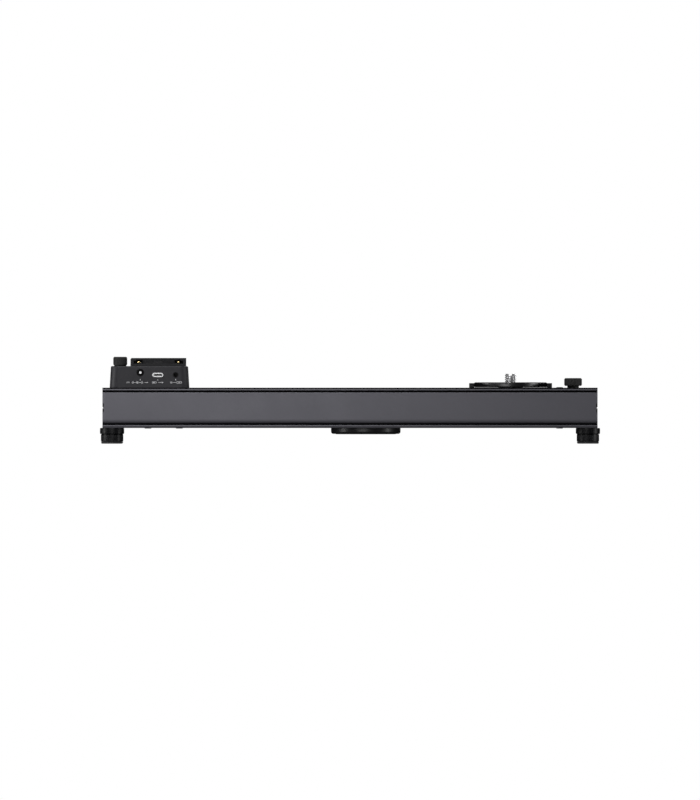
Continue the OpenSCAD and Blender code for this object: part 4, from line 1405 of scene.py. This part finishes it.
@dataclass
class ControlBox:
    """The control box: a leaning shell with its sockets, controls, boards and battery plate."""

    lean: float = 1.05
    wall: float = 2.0
    corner: float = 7.0
    edge: float = 0.9
    mark_z: float = 4.3  # height of the printed marks above the rail
    dc_hole: float = 3.15  # radii of the round openings
    jack_hole: float = 2.38
    dial_hole: float = 5.3
    button_hole: float = 3.6
    screw_hole: float = 1.25
    usb_hole: tuple[float, float, float] = (9.1, 3.4, 1.68)  # width, height and corner
    usb_shell: float = 3.3  # height of the socket's shell
    # The cavity box is painted dark: painted shade inside the socket's metal shell, round its plastic tongue.
    usb_cavity: tuple[float, float, float] = (8.4, 2.6, 7.2)  # width, height and depth that are dark
    usb_step: tuple[float, float, float, float] = (8.3, 2.5, 7.0, 1.5)  # outer and inner width and height
    step_depth: tuple[float, float] = (6.3, 6.8)  # behind the box's front
    box: Bounds = field(default_factory=lambda: Bounds.of("control_box"))

    def outline(self, z: float, inset: float = 0.0) -> list[Point2]:
        """The shell's outline at a height.

        Args:
            z: The height.
            inset: Distance inside the outer face.

        Returns:
            The outline in the XY plane.
        """
        shift = self.lean * (z - self.box.low.z) / self.box.size.z
        length = self.box.size.x - 2 * (inset + shift)
        return rounded_rectangle(self.box.centre.x, 0, length, self.box.size.y - 2 * inset,
                                 self.corner - inset, 9)

    def shell(self) -> None:
        """Lofts the shell and cuts the openings for its sockets and controls."""
        low, top = self.box.low.z, self.box.high.z
        form = Form()
        outer = [form.ring([(*p, low) for p in self.outline(low)])]
        for k in range(7):
            a = math.pi / 2 * k / 6
            z = top - self.edge + self.edge * math.sin(a)
            outer.append(form.ring([(*p, z) for p in self.outline(z, self.edge * (1 - math.cos(a)))]))
        ceiling = top - self.wall
        inner = [form.ring([(*p, z) for p in self.outline(z, self.wall)]) for z in (low, ceiling)]
        form.bridge(outer)
        form.bridge(inner)
        form.bridge([outer[0], inner[0]])
        form.mesh.faces.new(outer[-1])
        form.mesh.faces.new(inner[-1])
        shell = form.object("control_box_moulded")
        front = self.box.low.y
        dc, usb, jack = (Bounds.of(n) for n in ("dc_power_jack", "usb_c_socket", "shutter_jack"))
        dial, button, window = (Bounds.of(n) for n in ("dial_knob", "power_button", "display_window"))
        latch, screws = Bounds.of("battery_latch"), Bounds.of("battery_plate").centre
        dc_z = dc.high.z - 3.3
        jack_z = jack.high.z - 3
        slot = rounded_rectangle(usb.centre.x, jack_z, *self.usb_hole, 8)
        cutters = [
            drill(dc.centre.x, dc_z, front - 1, front + 3, self.dc_hole, Axis.Y),
            drill(jack.centre.x, jack_z, front - 1, front + 3, self.jack_hole, Axis.Y),
            Form().prism(slot, Axis.Y, front - 1, front + 3).object("cutter"),
            drill(dial.centre.x, dial.centre.y, top - 3, top + 1, self.dial_hole),
            drill(button.centre.x, button.centre.y, top - 3, top + 1, self.button_hole),
            slab((window.low.x + 0.95, window.low.y + 1.45, top - 3),
                 (window.high.x - 0.95, window.high.y - 1.45, top + 1)),
            slab((window.low.x - 0.05, window.low.y - 0.05, top - 0.7),
                 (window.high.x + 0.05, window.high.y + 0.05, top + 1)),
            slab((latch.centre.x - 3.9, -33.4, top - 3), (latch.centre.x + 3.9, -28.6, top + 1)),
        ]
        cutters += [drill(x, y, top - 3, top + 1, self.screw_hole)
                    for x, y, _ in four((screws.x, -6), 9, 18, 0)]
        shell = carve(shell, cutters, 30)
        posts = []
        for x, y, _ in four(self.box.centre, 25, 33.5, 0):
            tube = [(1.45, low + 1.7), (2.8, low + 1.7), (2.8, low + 6.2), (1.45, low + 6.2)]
            posts.append(Form().lathe(tube, (x, y), 24, True).object("post"))
        fit(join("control_box_moulded", [shell] + posts, 30), "root", BOX_SHELL, "control_box")

    def sockets(self) -> None:
        """Dresses the three sockets and prints their marks."""
        dc = keep("dc_power_jack", JACK_PLASTIC)
        centre, height = Bounds.of("dc_power_jack").centre.x, Bounds.of("dc_power_jack").high.z - 3.3
        tint(dc, PLATING, lambda p: math.hypot(p.x - centre, p.z - height) < 1.3
             and p.y < self.box.low.y + 12)
        usb = keep("usb_c_socket", PLATING)
        box = Bounds.of("usb_c_socket")
        usb_z = box.high.z - self.usb_shell / 2
        width, height, depth = self.usb_cavity
        front = self.box.low.y
        # Painted shade: every face inside the cavity, the shell's metal walls as well as the tongue, takes
        # the dark plastic finish.
        tint(usb, INNER_PLASTIC_AND_SHADE, lambda p: abs(p.x - box.centre.x) < width / 2
             and abs(p.z - usb_z) < height / 2
             and 0.1 < p.y - front < depth)
        step = Form()
        rings = []
        near, far = self.step_depth
        for size, depth_y in ((self.usb_step[:2], near), (self.usb_step[:2], far),
                              (self.usb_step[2:], far), (self.usb_step[2:], near)):
            outline = rounded_rectangle(box.centre.x, usb_z, *size, size[1] / 2 - 0.02, 8)
            rings.append(step.ring([(x, front + depth_y, z) for x, z in outline]))
        step.bridge(rings, True)
        fit(step.object("usb_c_step"), "root", PLATING)
        keep("shutter_jack", JACK_PLASTIC)
        marks = Marks(face_y=self.box.low.y)
        z = self.box.low.z + self.mark_z
        jack = Bounds.of("shutter_jack").centre.x
        marks.power_inlet(centre - 2.45, z)
        marks.power_outlet(box.centre.x, z)
        marks.shutter(jack, z)
        for x in (centre, box.centre.x, jack):
            marks.pointer(x, z + 2.5)
        fit(marks.form.object("port_marks"), "root", INK)

    def controls(self) -> None:
        """Turns the dial and the power button, and dresses the display."""
        dial, button = Bounds.of("dial_knob"), Bounds.of("power_button")
        top = self.box.high.z
        r = dial.size.x / 2
        body = r - 0.18
        base = top + 0.7
        profile = fillet([
            (0.0, dial.low.z, 0.0), (3.0, dial.low.z, 0.2), (3.0, top - 1.2, 0.1), (5.0, top - 1.2, 0.2),
            (5.0, base, 0.1), (body, base, 0.35),
            (body, dial.high.z, 0.85), (3.9, dial.high.z, 0.25), (3.4, dial.high.z - 0.35, 0.2),
            (0.0, dial.high.z - 0.35, 0.0),
        ], False, 5)
        turned = Form().lathe(profile, dial.centre, 72).object("dial")
        ribs = ring_of_ribs("dial_knurl", (dial.centre.x, dial.centre.y, (base + dial.high.z) / 2 - 0.1),
                            body, 36,
                            (0.36, 0.55, dial.high.z - base - 1.9), KNOB_BLACK)
        fit(join("dial_knob_knurled", [turned, ribs]), "dial", KNOB_BLACK, "dial_knob")
        profile = fillet([
            (0.0, button.low.z, 0.0), (4.2, button.low.z, 0.1), (4.2, button.low.z + 1.2, 0.2),
            (3.4, button.low.z + 1.2, 0.15), (3.4, button.high.z, 0.5), (0.0, button.high.z - 0.15, 0.0),
        ], False, 5)
        cap = Form().lathe(profile, button.centre, 64).object("power_button_moulded")
        fit(cap, "button", KNOB_BLACK, "power_button")
        sign = Form()
        level = button.high.z - 0.1
        x, y = button.centre.x, button.centre.y
        for quad in arc_quads(x, y, (1.15, 1.45), 125, 415, 24):
            sign.prism(quad, Axis.Z, level - 0.1, level + 0.05)
        sign.block((x - 0.15, y + 0.35, level - 0.1), (x + 0.15, y + 1.7, level + 0.05))
        fit(sign.object("power_sign"), "button", INK)
        keep("display_window", DISPLAY)
        keep("display_module", INNER_PLASTIC_AND_SHADE)
        keep("encoder_plunger", SMALL_STEEL, 0.15)

    def battery(self) -> None:
        """Dresses the battery plate, its contacts and its catch, and sets its guide ribs."""
        plate = Bounds.of("battery_plate")
        keep("battery_plate", PLATE_PLASTIC, 0.3, 3)
        keep("battery_terminal_pins", PIN_GOLD)
        keep("battery_latch", PLATE_PLASTIC, 0.35, 3)
        ribs = Form()
        floor = self.box.high.z + 2.0
        for side in (-1, 1):
            ribs.block((plate.centre.x + side * 14.5 - 0.6, -27, floor - 0.1),
                       (plate.centre.x + side * 14.5 + 0.6, 18, floor + 0.5))
        for k in range(3):
            y = -18 + k * 3.2
            for side in (-1, 1):
                x = plate.centre.x
                outline = [(x, y + 2.6), (x, y + 1.6), (x + side * 3.6, y - 1.0), (x + side * 3.6, y)]
                ribs.prism(outline, Axis.Z, floor - 0.1, floor + 0.25)
        fit(ribs.soften(0.12, 1).object("battery_plate_ribs"), "root", PLATE_PLASTIC)

    def boards(self) -> None:
        """Dresses the boards and the base inside the shell, and colours the parts on both boards."""
        keep("control_box_base", INNER_PLASTIC_AND_SHADE, 0.2)
        main = keep("main_board", CIRCUIT)
        box = Bounds.of("main_board")
        top = box.low.z + 1.6
        tint(main, JACK_PLASTIC, lambda p: p.z > top + 0.05)
        control = keep("control_board", CIRCUIT)
        level = Bounds.of("control_board").low.z + 1.4
        tint(control, SMALL_STEEL, lambda p: p.z > level + 0.05)

    def build(self) -> None:
        """Builds the whole box."""
        self.shell()
        self.sockets()
        self.controls()
        self.battery()
        self.boards()


@dataclass
class Drive:
    """The motor, its bracket and pulley, the toothed belt and the idler with its brake."""

    tooth_pitch: float = 2.0
    tooth: tuple[float, float] = (1.05, 0.72)  # width along the belt and depth
    tooth_root: float = 0.1  # how far a tooth reaches into the band
    tooth_gap: float = 0.15  # how far its tip stays short of its depth
    knob_ribs: int = 20

    def belt(self) -> None:
        """Makes the belt's band and the teeth on its two straight runs."""
        box = Bounds.of("drive_belt")
        motor, idler = Bounds.of("drive_pulley").centre, Bounds.of("idler_pulley").centre
        outer = box.size.y / 2
        inner = outer - 0.65

        def loop(r: float) -> list[Point2]:
            """The belt's path at a distance from the pulleys' axes."""
            turns = [math.pi * k / 20 for k in range(21)]
            left = [(motor.x - r * math.sin(a), -r * math.cos(a)) for a in turns]
            right = [(idler.x + r * math.sin(a), r * math.cos(a)) for a in turns]
            return left + right

        form = Form()
        rings = [form.ring([(*p, z) for p in loop(r)]) for r, z in (
            (outer, box.low.z), (outer, box.high.z), (inner, box.high.z), (inner, box.low.z))]
        form.bridge(rings, True)
        band = form.object("belt_band")
        start, end = motor.x + 9, idler.x - 9
        count = int((end - start) / self.tooth_pitch)
        width, depth = self.tooth
        runs = []
        for run, side in (("front", 1), ("rear", -1)):
            root, tip = side * (-depth / 2 - self.tooth_root), side * (depth / 2 - self.tooth_gap)
            corners = [(-width / 2, root, 0), (width / 2, root, 0), (width / 2, tip, 0.2),
                       (-width / 2, tip, 0.2)]
            tooth = Form().prism(fillet(corners[::side], True, 2), Axis.Z, box.low.z, box.high.z)
            spots = [(start + k * self.tooth_pitch, side * (depth / 2 - inner), 0.0) for k in range(count)]
            runs.append(copies("belt_teeth_" + run, tooth.object("tooth_" + run), spots, BELT_RUBBER))
        fit(join("drive_belt_toothed", [band] + runs), "root", BELT_RUBBER, "drive_belt")

    def knob(self) -> None:
        """Turns the lock knob's stem and head and sets its grip ribs."""
        box = Bounds.of("lock_knob")
        r = box.size.x / 2
        body = r - 0.3
        head = box.high.z - 6.5
        profile = fillet([
            (0.0, box.low.z, 0.0), (2.5, box.low.z, 0.3), (2.5, box.low.z + 0.85, 0.0),
            (3.0, box.low.z + 0.85, 0.2),
            (3.0, head - 2.7, 0.0), (4.85, head - 2.7, 0.3), (4.85, head, 0.2), (body, head, 0.5),
            (body, box.high.z, 0.7), (3.6, box.high.z, 0.3), (3.2, box.high.z - 0.5, 0.2),
            (0.0, box.high.z - 0.5, 0.0),
        ], False, 4)
        turned = Form().lathe(profile, box.centre, 80).object("knob")
        ribs = ring_of_ribs("knob_grip", (box.centre.x, box.centre.y, head + 3.2), body, self.knob_ribs,
                            (0.6, 1.25, 5.0), KNOB_BLACK)
        fit(join("lock_knob_ribbed", [turned, ribs]), "brake_knob", KNOB_BLACK, "lock_knob")

    def screws(self) -> None:
        """Sets the motor screws and the screws of the housings."""
        motor, tripod = Bounds.of("drive_motor").centre, Bounds.of("tripod_plate").centre
        rail = Bounds.of("rail")
        shell, plate = Bounds.of("control_box"), Bounds.of("battery_plate").centre
        block_x = Bounds.of("idler_block").low.x + 5.4
        long = Screw(2.75, 0.5, 1.5, 21.0).shape("motor_screw", False)
        held = copies("motor_screws_socket", long, four(motor, 13, 13, rail.low.z), SCREW_BLACK)
        fit(held, "root", SCREW_BLACK, "motor_screws")
        sets = [
            (Screw(2.55, 0.5, 1.4, 9.5), True, [(block_x, y, rail.high.z) for y in (-20, 20)]),
            (Screw(2.55, 0.5, 1.4, 11.0), False, [(block_x, y, rail.low.z) for y in (-20, 20)]),
            (Screw(3.4, 1.2, 1.9, 6.0, 1.5), True, four(tripod, 18, 18, rail.low.z + 3)),
            (Screw(2.4, 1.3, 1.4, 8.0), False, four(shell.centre, 25, 33.5, rail.high.z - 3)),
            (Screw(2.2, 1.0, 1.2, 4.9, 0.9, True), True, four((plate.x, -6), 9, 18, shell.high.z + 1.9)),
        ]
        made = []
        for k, (screw, up, points) in enumerate(sets):
            made.append(copies(f"screw_set_{k}", screw.shape(f"screw_{k}", up), points, SCREW_BLACK))
        fit(join("housing_screws_socket", made), "root", SCREW_BLACK, "housing_screws")

    def build(self) -> None:
        """Builds the drive."""
        keep("drive_motor", MOTOR, 0.3)
        keep("motor_bracket", INNER_ALUMINIUM, 0.25)
        keep("drive_pulley", INNER_ALUMINIUM, 0.05)
        keep("idler_pulley", INNER_ALUMINIUM, 0.05)
        keep("idler_block", BLACK_METAL, 0.35)
        keep("idler_axle", SMALL_STEEL, 0.2)
        keep("lock_pad", RUBBER, 0.2)
        keep("bumpers", RUBBER, 0.3)
        self.belt()
        self.knob()
        self.screws()


@dataclass
class Carriage:
    """The carriage on its rollers, with the panning head and the camera screw."""

    thread: Thread = Thread(4.7, 0.85, 1.5875, 56, 12)
    slot: tuple[float, float] = (2.4, 1.4)  # width and depth of the screwdriver slot
    screw_hole: float = 4.72  # radius round the camera screw
    shank: float = 3.9  # radius of the camera screw inside the hub
    pad_in: float = 12.0
    pad_step: float = 1.5

    def body(self) -> None:
        """Dresses the chassis, saddle, rollers, axles, clamp, pan motor and bearing."""
        keep("carriage_chassis", INNER_ALUMINIUM, 0.3)
        keep("carriage_saddle", BLACK_METAL, 0.15)
        keep("carriage_screws", SCREW_BLACK, 0.15)
        keep("roller_axles", SMALL_STEEL, 0.2)
        keep("belt_clamp", INNER_ALUMINIUM, 0.25)
        keep("pan_motor", MOTOR_CAN, 0.4)
        keep("pan_bearing", SMALL_STEEL)
        keep("pan_gear", BRASS, 0.06, 1)
        keep("pan_pinion", BRASS, 0.06, 1)
        for corner in ("front_left", "front_right", "rear_left", "rear_right"):
            keep("roller_" + corner, ACETAL, 0.2)

    def plate(self) -> None:
        """Turns the panning plate with its hub, and its ringed rubber pad."""
        box, pad = Bounds.of("pan_plate"), Bounds.of("pan_pad")
        r, top = box.size.x / 2, box.high.z
        under = Bounds.of("rail").high.z + 0.4
        profile = fillet([
            (7.1, box.low.z, 0.0), (10.0, box.low.z, 0.2), (10.0, under, 0.3), (r - 0.12, under, 0.25),
            (r, under + 0.9, 0.5), (r, top - 1.2, 0.8), (r - 0.12, top, 0.3), (self.screw_hole, top, 0.35),
            (self.screw_hole, box.low.z + 2.0, 0.0), (7.1, box.low.z + 2.0, 0.0),
        ], True, 5)
        plate = Form().lathe(profile, box.centre, 160, True).object("pan_plate_turned")
        fit(plate, "pan_head", PAN_BLACK, "pan_plate")
        outer = pad.size.x / 2
        ridges = [(outer, pad.low.z, 0.0), (self.pad_in, pad.low.z, 0.0)]
        count = int((outer - self.pad_in) / self.pad_step)
        step = (outer - self.pad_in) / count
        for k in range(count):
            start = self.pad_in + k * step
            ridges += [(start + 0.02, pad.high.z - 0.22, 0.0), (start + step * 0.3, pad.high.z, 0.0),
                       (start + step * 0.8, pad.high.z, 0.0)]
        ridges.append((outer, pad.high.z - 0.2, 0.0))
        ring = Form().lathe([(a, b) for a, b, _ in ridges], pad.centre, 128, True).object("pan_pad_ringed")
        fit(ring, "pan_head", RUBBER, "pan_pad")

    def screw(self) -> None:
        """Cuts the camera screw's thread and its slot."""
        box = Bounds.of("camera_screw")
        plate_top = Bounds.of("pan_plate").high.z
        centre = box.centre
        form = Form()
        rings = [form.ring([(centre.x, centre.y, box.low.z)])]
        profile = fillet([(box.size.x / 2, box.low.z, 0.2), (box.size.x / 2, box.low.z + 1.9, 0.2),
                          (self.shank, box.low.z + 1.9, 0.0), (self.shank, plate_top - 0.2, 0.0)], True, 2)
        for r, z in profile:
            rings.append(form.ring([(*p, z) for p in circle(centre.x, centre.y, r, self.thread.segments)]))
        rings += self.thread.rows(form, centre, plate_top, box.high.z)
        form.bridge(rings + [form.ring([(centre.x, centre.y, box.high.z)])])
        screw = form.object("camera_screw_threaded", crease=60)
        width, depth = self.slot
        cut = slab((centre.x - width / 2, centre.y - 6, box.high.z - depth),
                   (centre.x + width / 2, centre.y + 6, box.high.z + 1))
        fit(carve(screw, [cut], 42), "pan_head", SMALL_STEEL, "camera_screw")

    def build(self) -> None:
        """Builds the carriage and its head."""
        self.body()
        self.plate()
        self.screw()


# ---------------------------------------------------------------------------------------------
# Studio


@dataclass
class Studio:
    """Camera, lights and backdrop. Lengths here are metres."""

    lens: float = 1000.0
    distance: float = 18.44
    eye_height: float = 0.0362
    surround: float = 0.012  # strength of the light from all round

    def camera(self) -> None:
        """Sets a long lens level with the middle of the slider."""
        data = bpy.data.cameras.new("camera")
        data.lens = self.lens
        data.sensor_width = 36
        data.clip_end = 60
        eye = link("camera", data)
        eye.location = (0, -self.distance, self.eye_height)
        eye.rotation_euler = (math.pi / 2, 0, 0)
        bpy.context.scene.camera = eye

    def light(self, name: str, place: Sequence[float], aim: Sequence[float], size: Sequence[float],
              power: float) -> None:
        """Adds a soft rectangular light.

        Args:
            name: The light's name.
            place: Where it stands.
            aim: What it points at.
            size: Its width and height.
            power: Its power in watts.
        """
        data = bpy.data.lights.new(name, "AREA")
        data.shape = "RECTANGLE"
        data.size, data.size_y = size
        data.energy = power
        lamp = link(name, data)
        lamp.location = place
        lamp.rotation_euler = (Vector(aim) - Vector(place)).to_track_quat("-Z", "Y").to_euler()
        lamp.visible_camera = False

    def backdrop(self) -> None:
        """Makes the surroundings white to the eye and dim to the surfaces."""
        world = bpy.data.worlds.new("studio")
        bpy.context.scene.world = world
        world.use_nodes = True
        nodes, links = world.node_tree.nodes, world.node_tree.links
        nodes.clear()
        seen = nodes.new("ShaderNodeLightPath")
        dim = nodes.new("ShaderNodeBackground")
        dim.inputs["Strength"].default_value = self.surround
        bright = nodes.new("ShaderNodeBackground")
        bright.inputs["Color"].default_value = (1, 1, 1, 1)
        bright.inputs["Strength"].default_value = 1.0
        mix = nodes.new("ShaderNodeMixShader")
        sink = nodes.new("ShaderNodeOutputWorld")
        links.new(seen.outputs["Is Camera Ray"], mix.inputs[0])
        links.new(dim.outputs[0], mix.inputs[1])
        links.new(bright.outputs[0], mix.inputs[2])
        links.new(mix.outputs[0], sink.inputs[0])

    def build(self) -> None:
        """Sets up the camera, then the lights and the surroundings."""
        self.camera()
        self.backdrop()
        for name, place, aim, size, power in (
            ("key", (-0.17, -0.42, 0.5), (-0.1, 0, 0.03), (0.5, 0.25), 3.0),
            ("front", (-0.16, -0.9, 0.02), (-0.08, 0, 0.03), (0.42, 0.26), 1.05),
            ("left", (-0.75, -0.15, 0.06), (-0.2, 0, 0.04), (0.15, 0.3), 1.4),
            ("right", (0.75, -0.15, 0.06), (0.2, 0, 0.04), (0.15, 0.3), 1.3),
            ("back", (0.25, 0.75, 0.45), (0, 0, 0.03), (0.6, 0.3), 2.5),
        ):
            self.light(name, place, aim, size, power)
        bpy.context.scene.view_settings.view_transform = "Standard"


def main() -> None:
    """Builds the studio and every sub-assembly in order."""
    logging.basicConfig(level=logging.INFO, format="%(name)s: %(message)s", stream=sys.stdout)
    Studio().build()
    for part in (Rail(), Feet(), TripodPlate(), ControlBox(), Drive(), Carriage()):
        LOG.info("building %s", type(part).__name__)
        part.build()


if __name__ == "__main__":
    main()
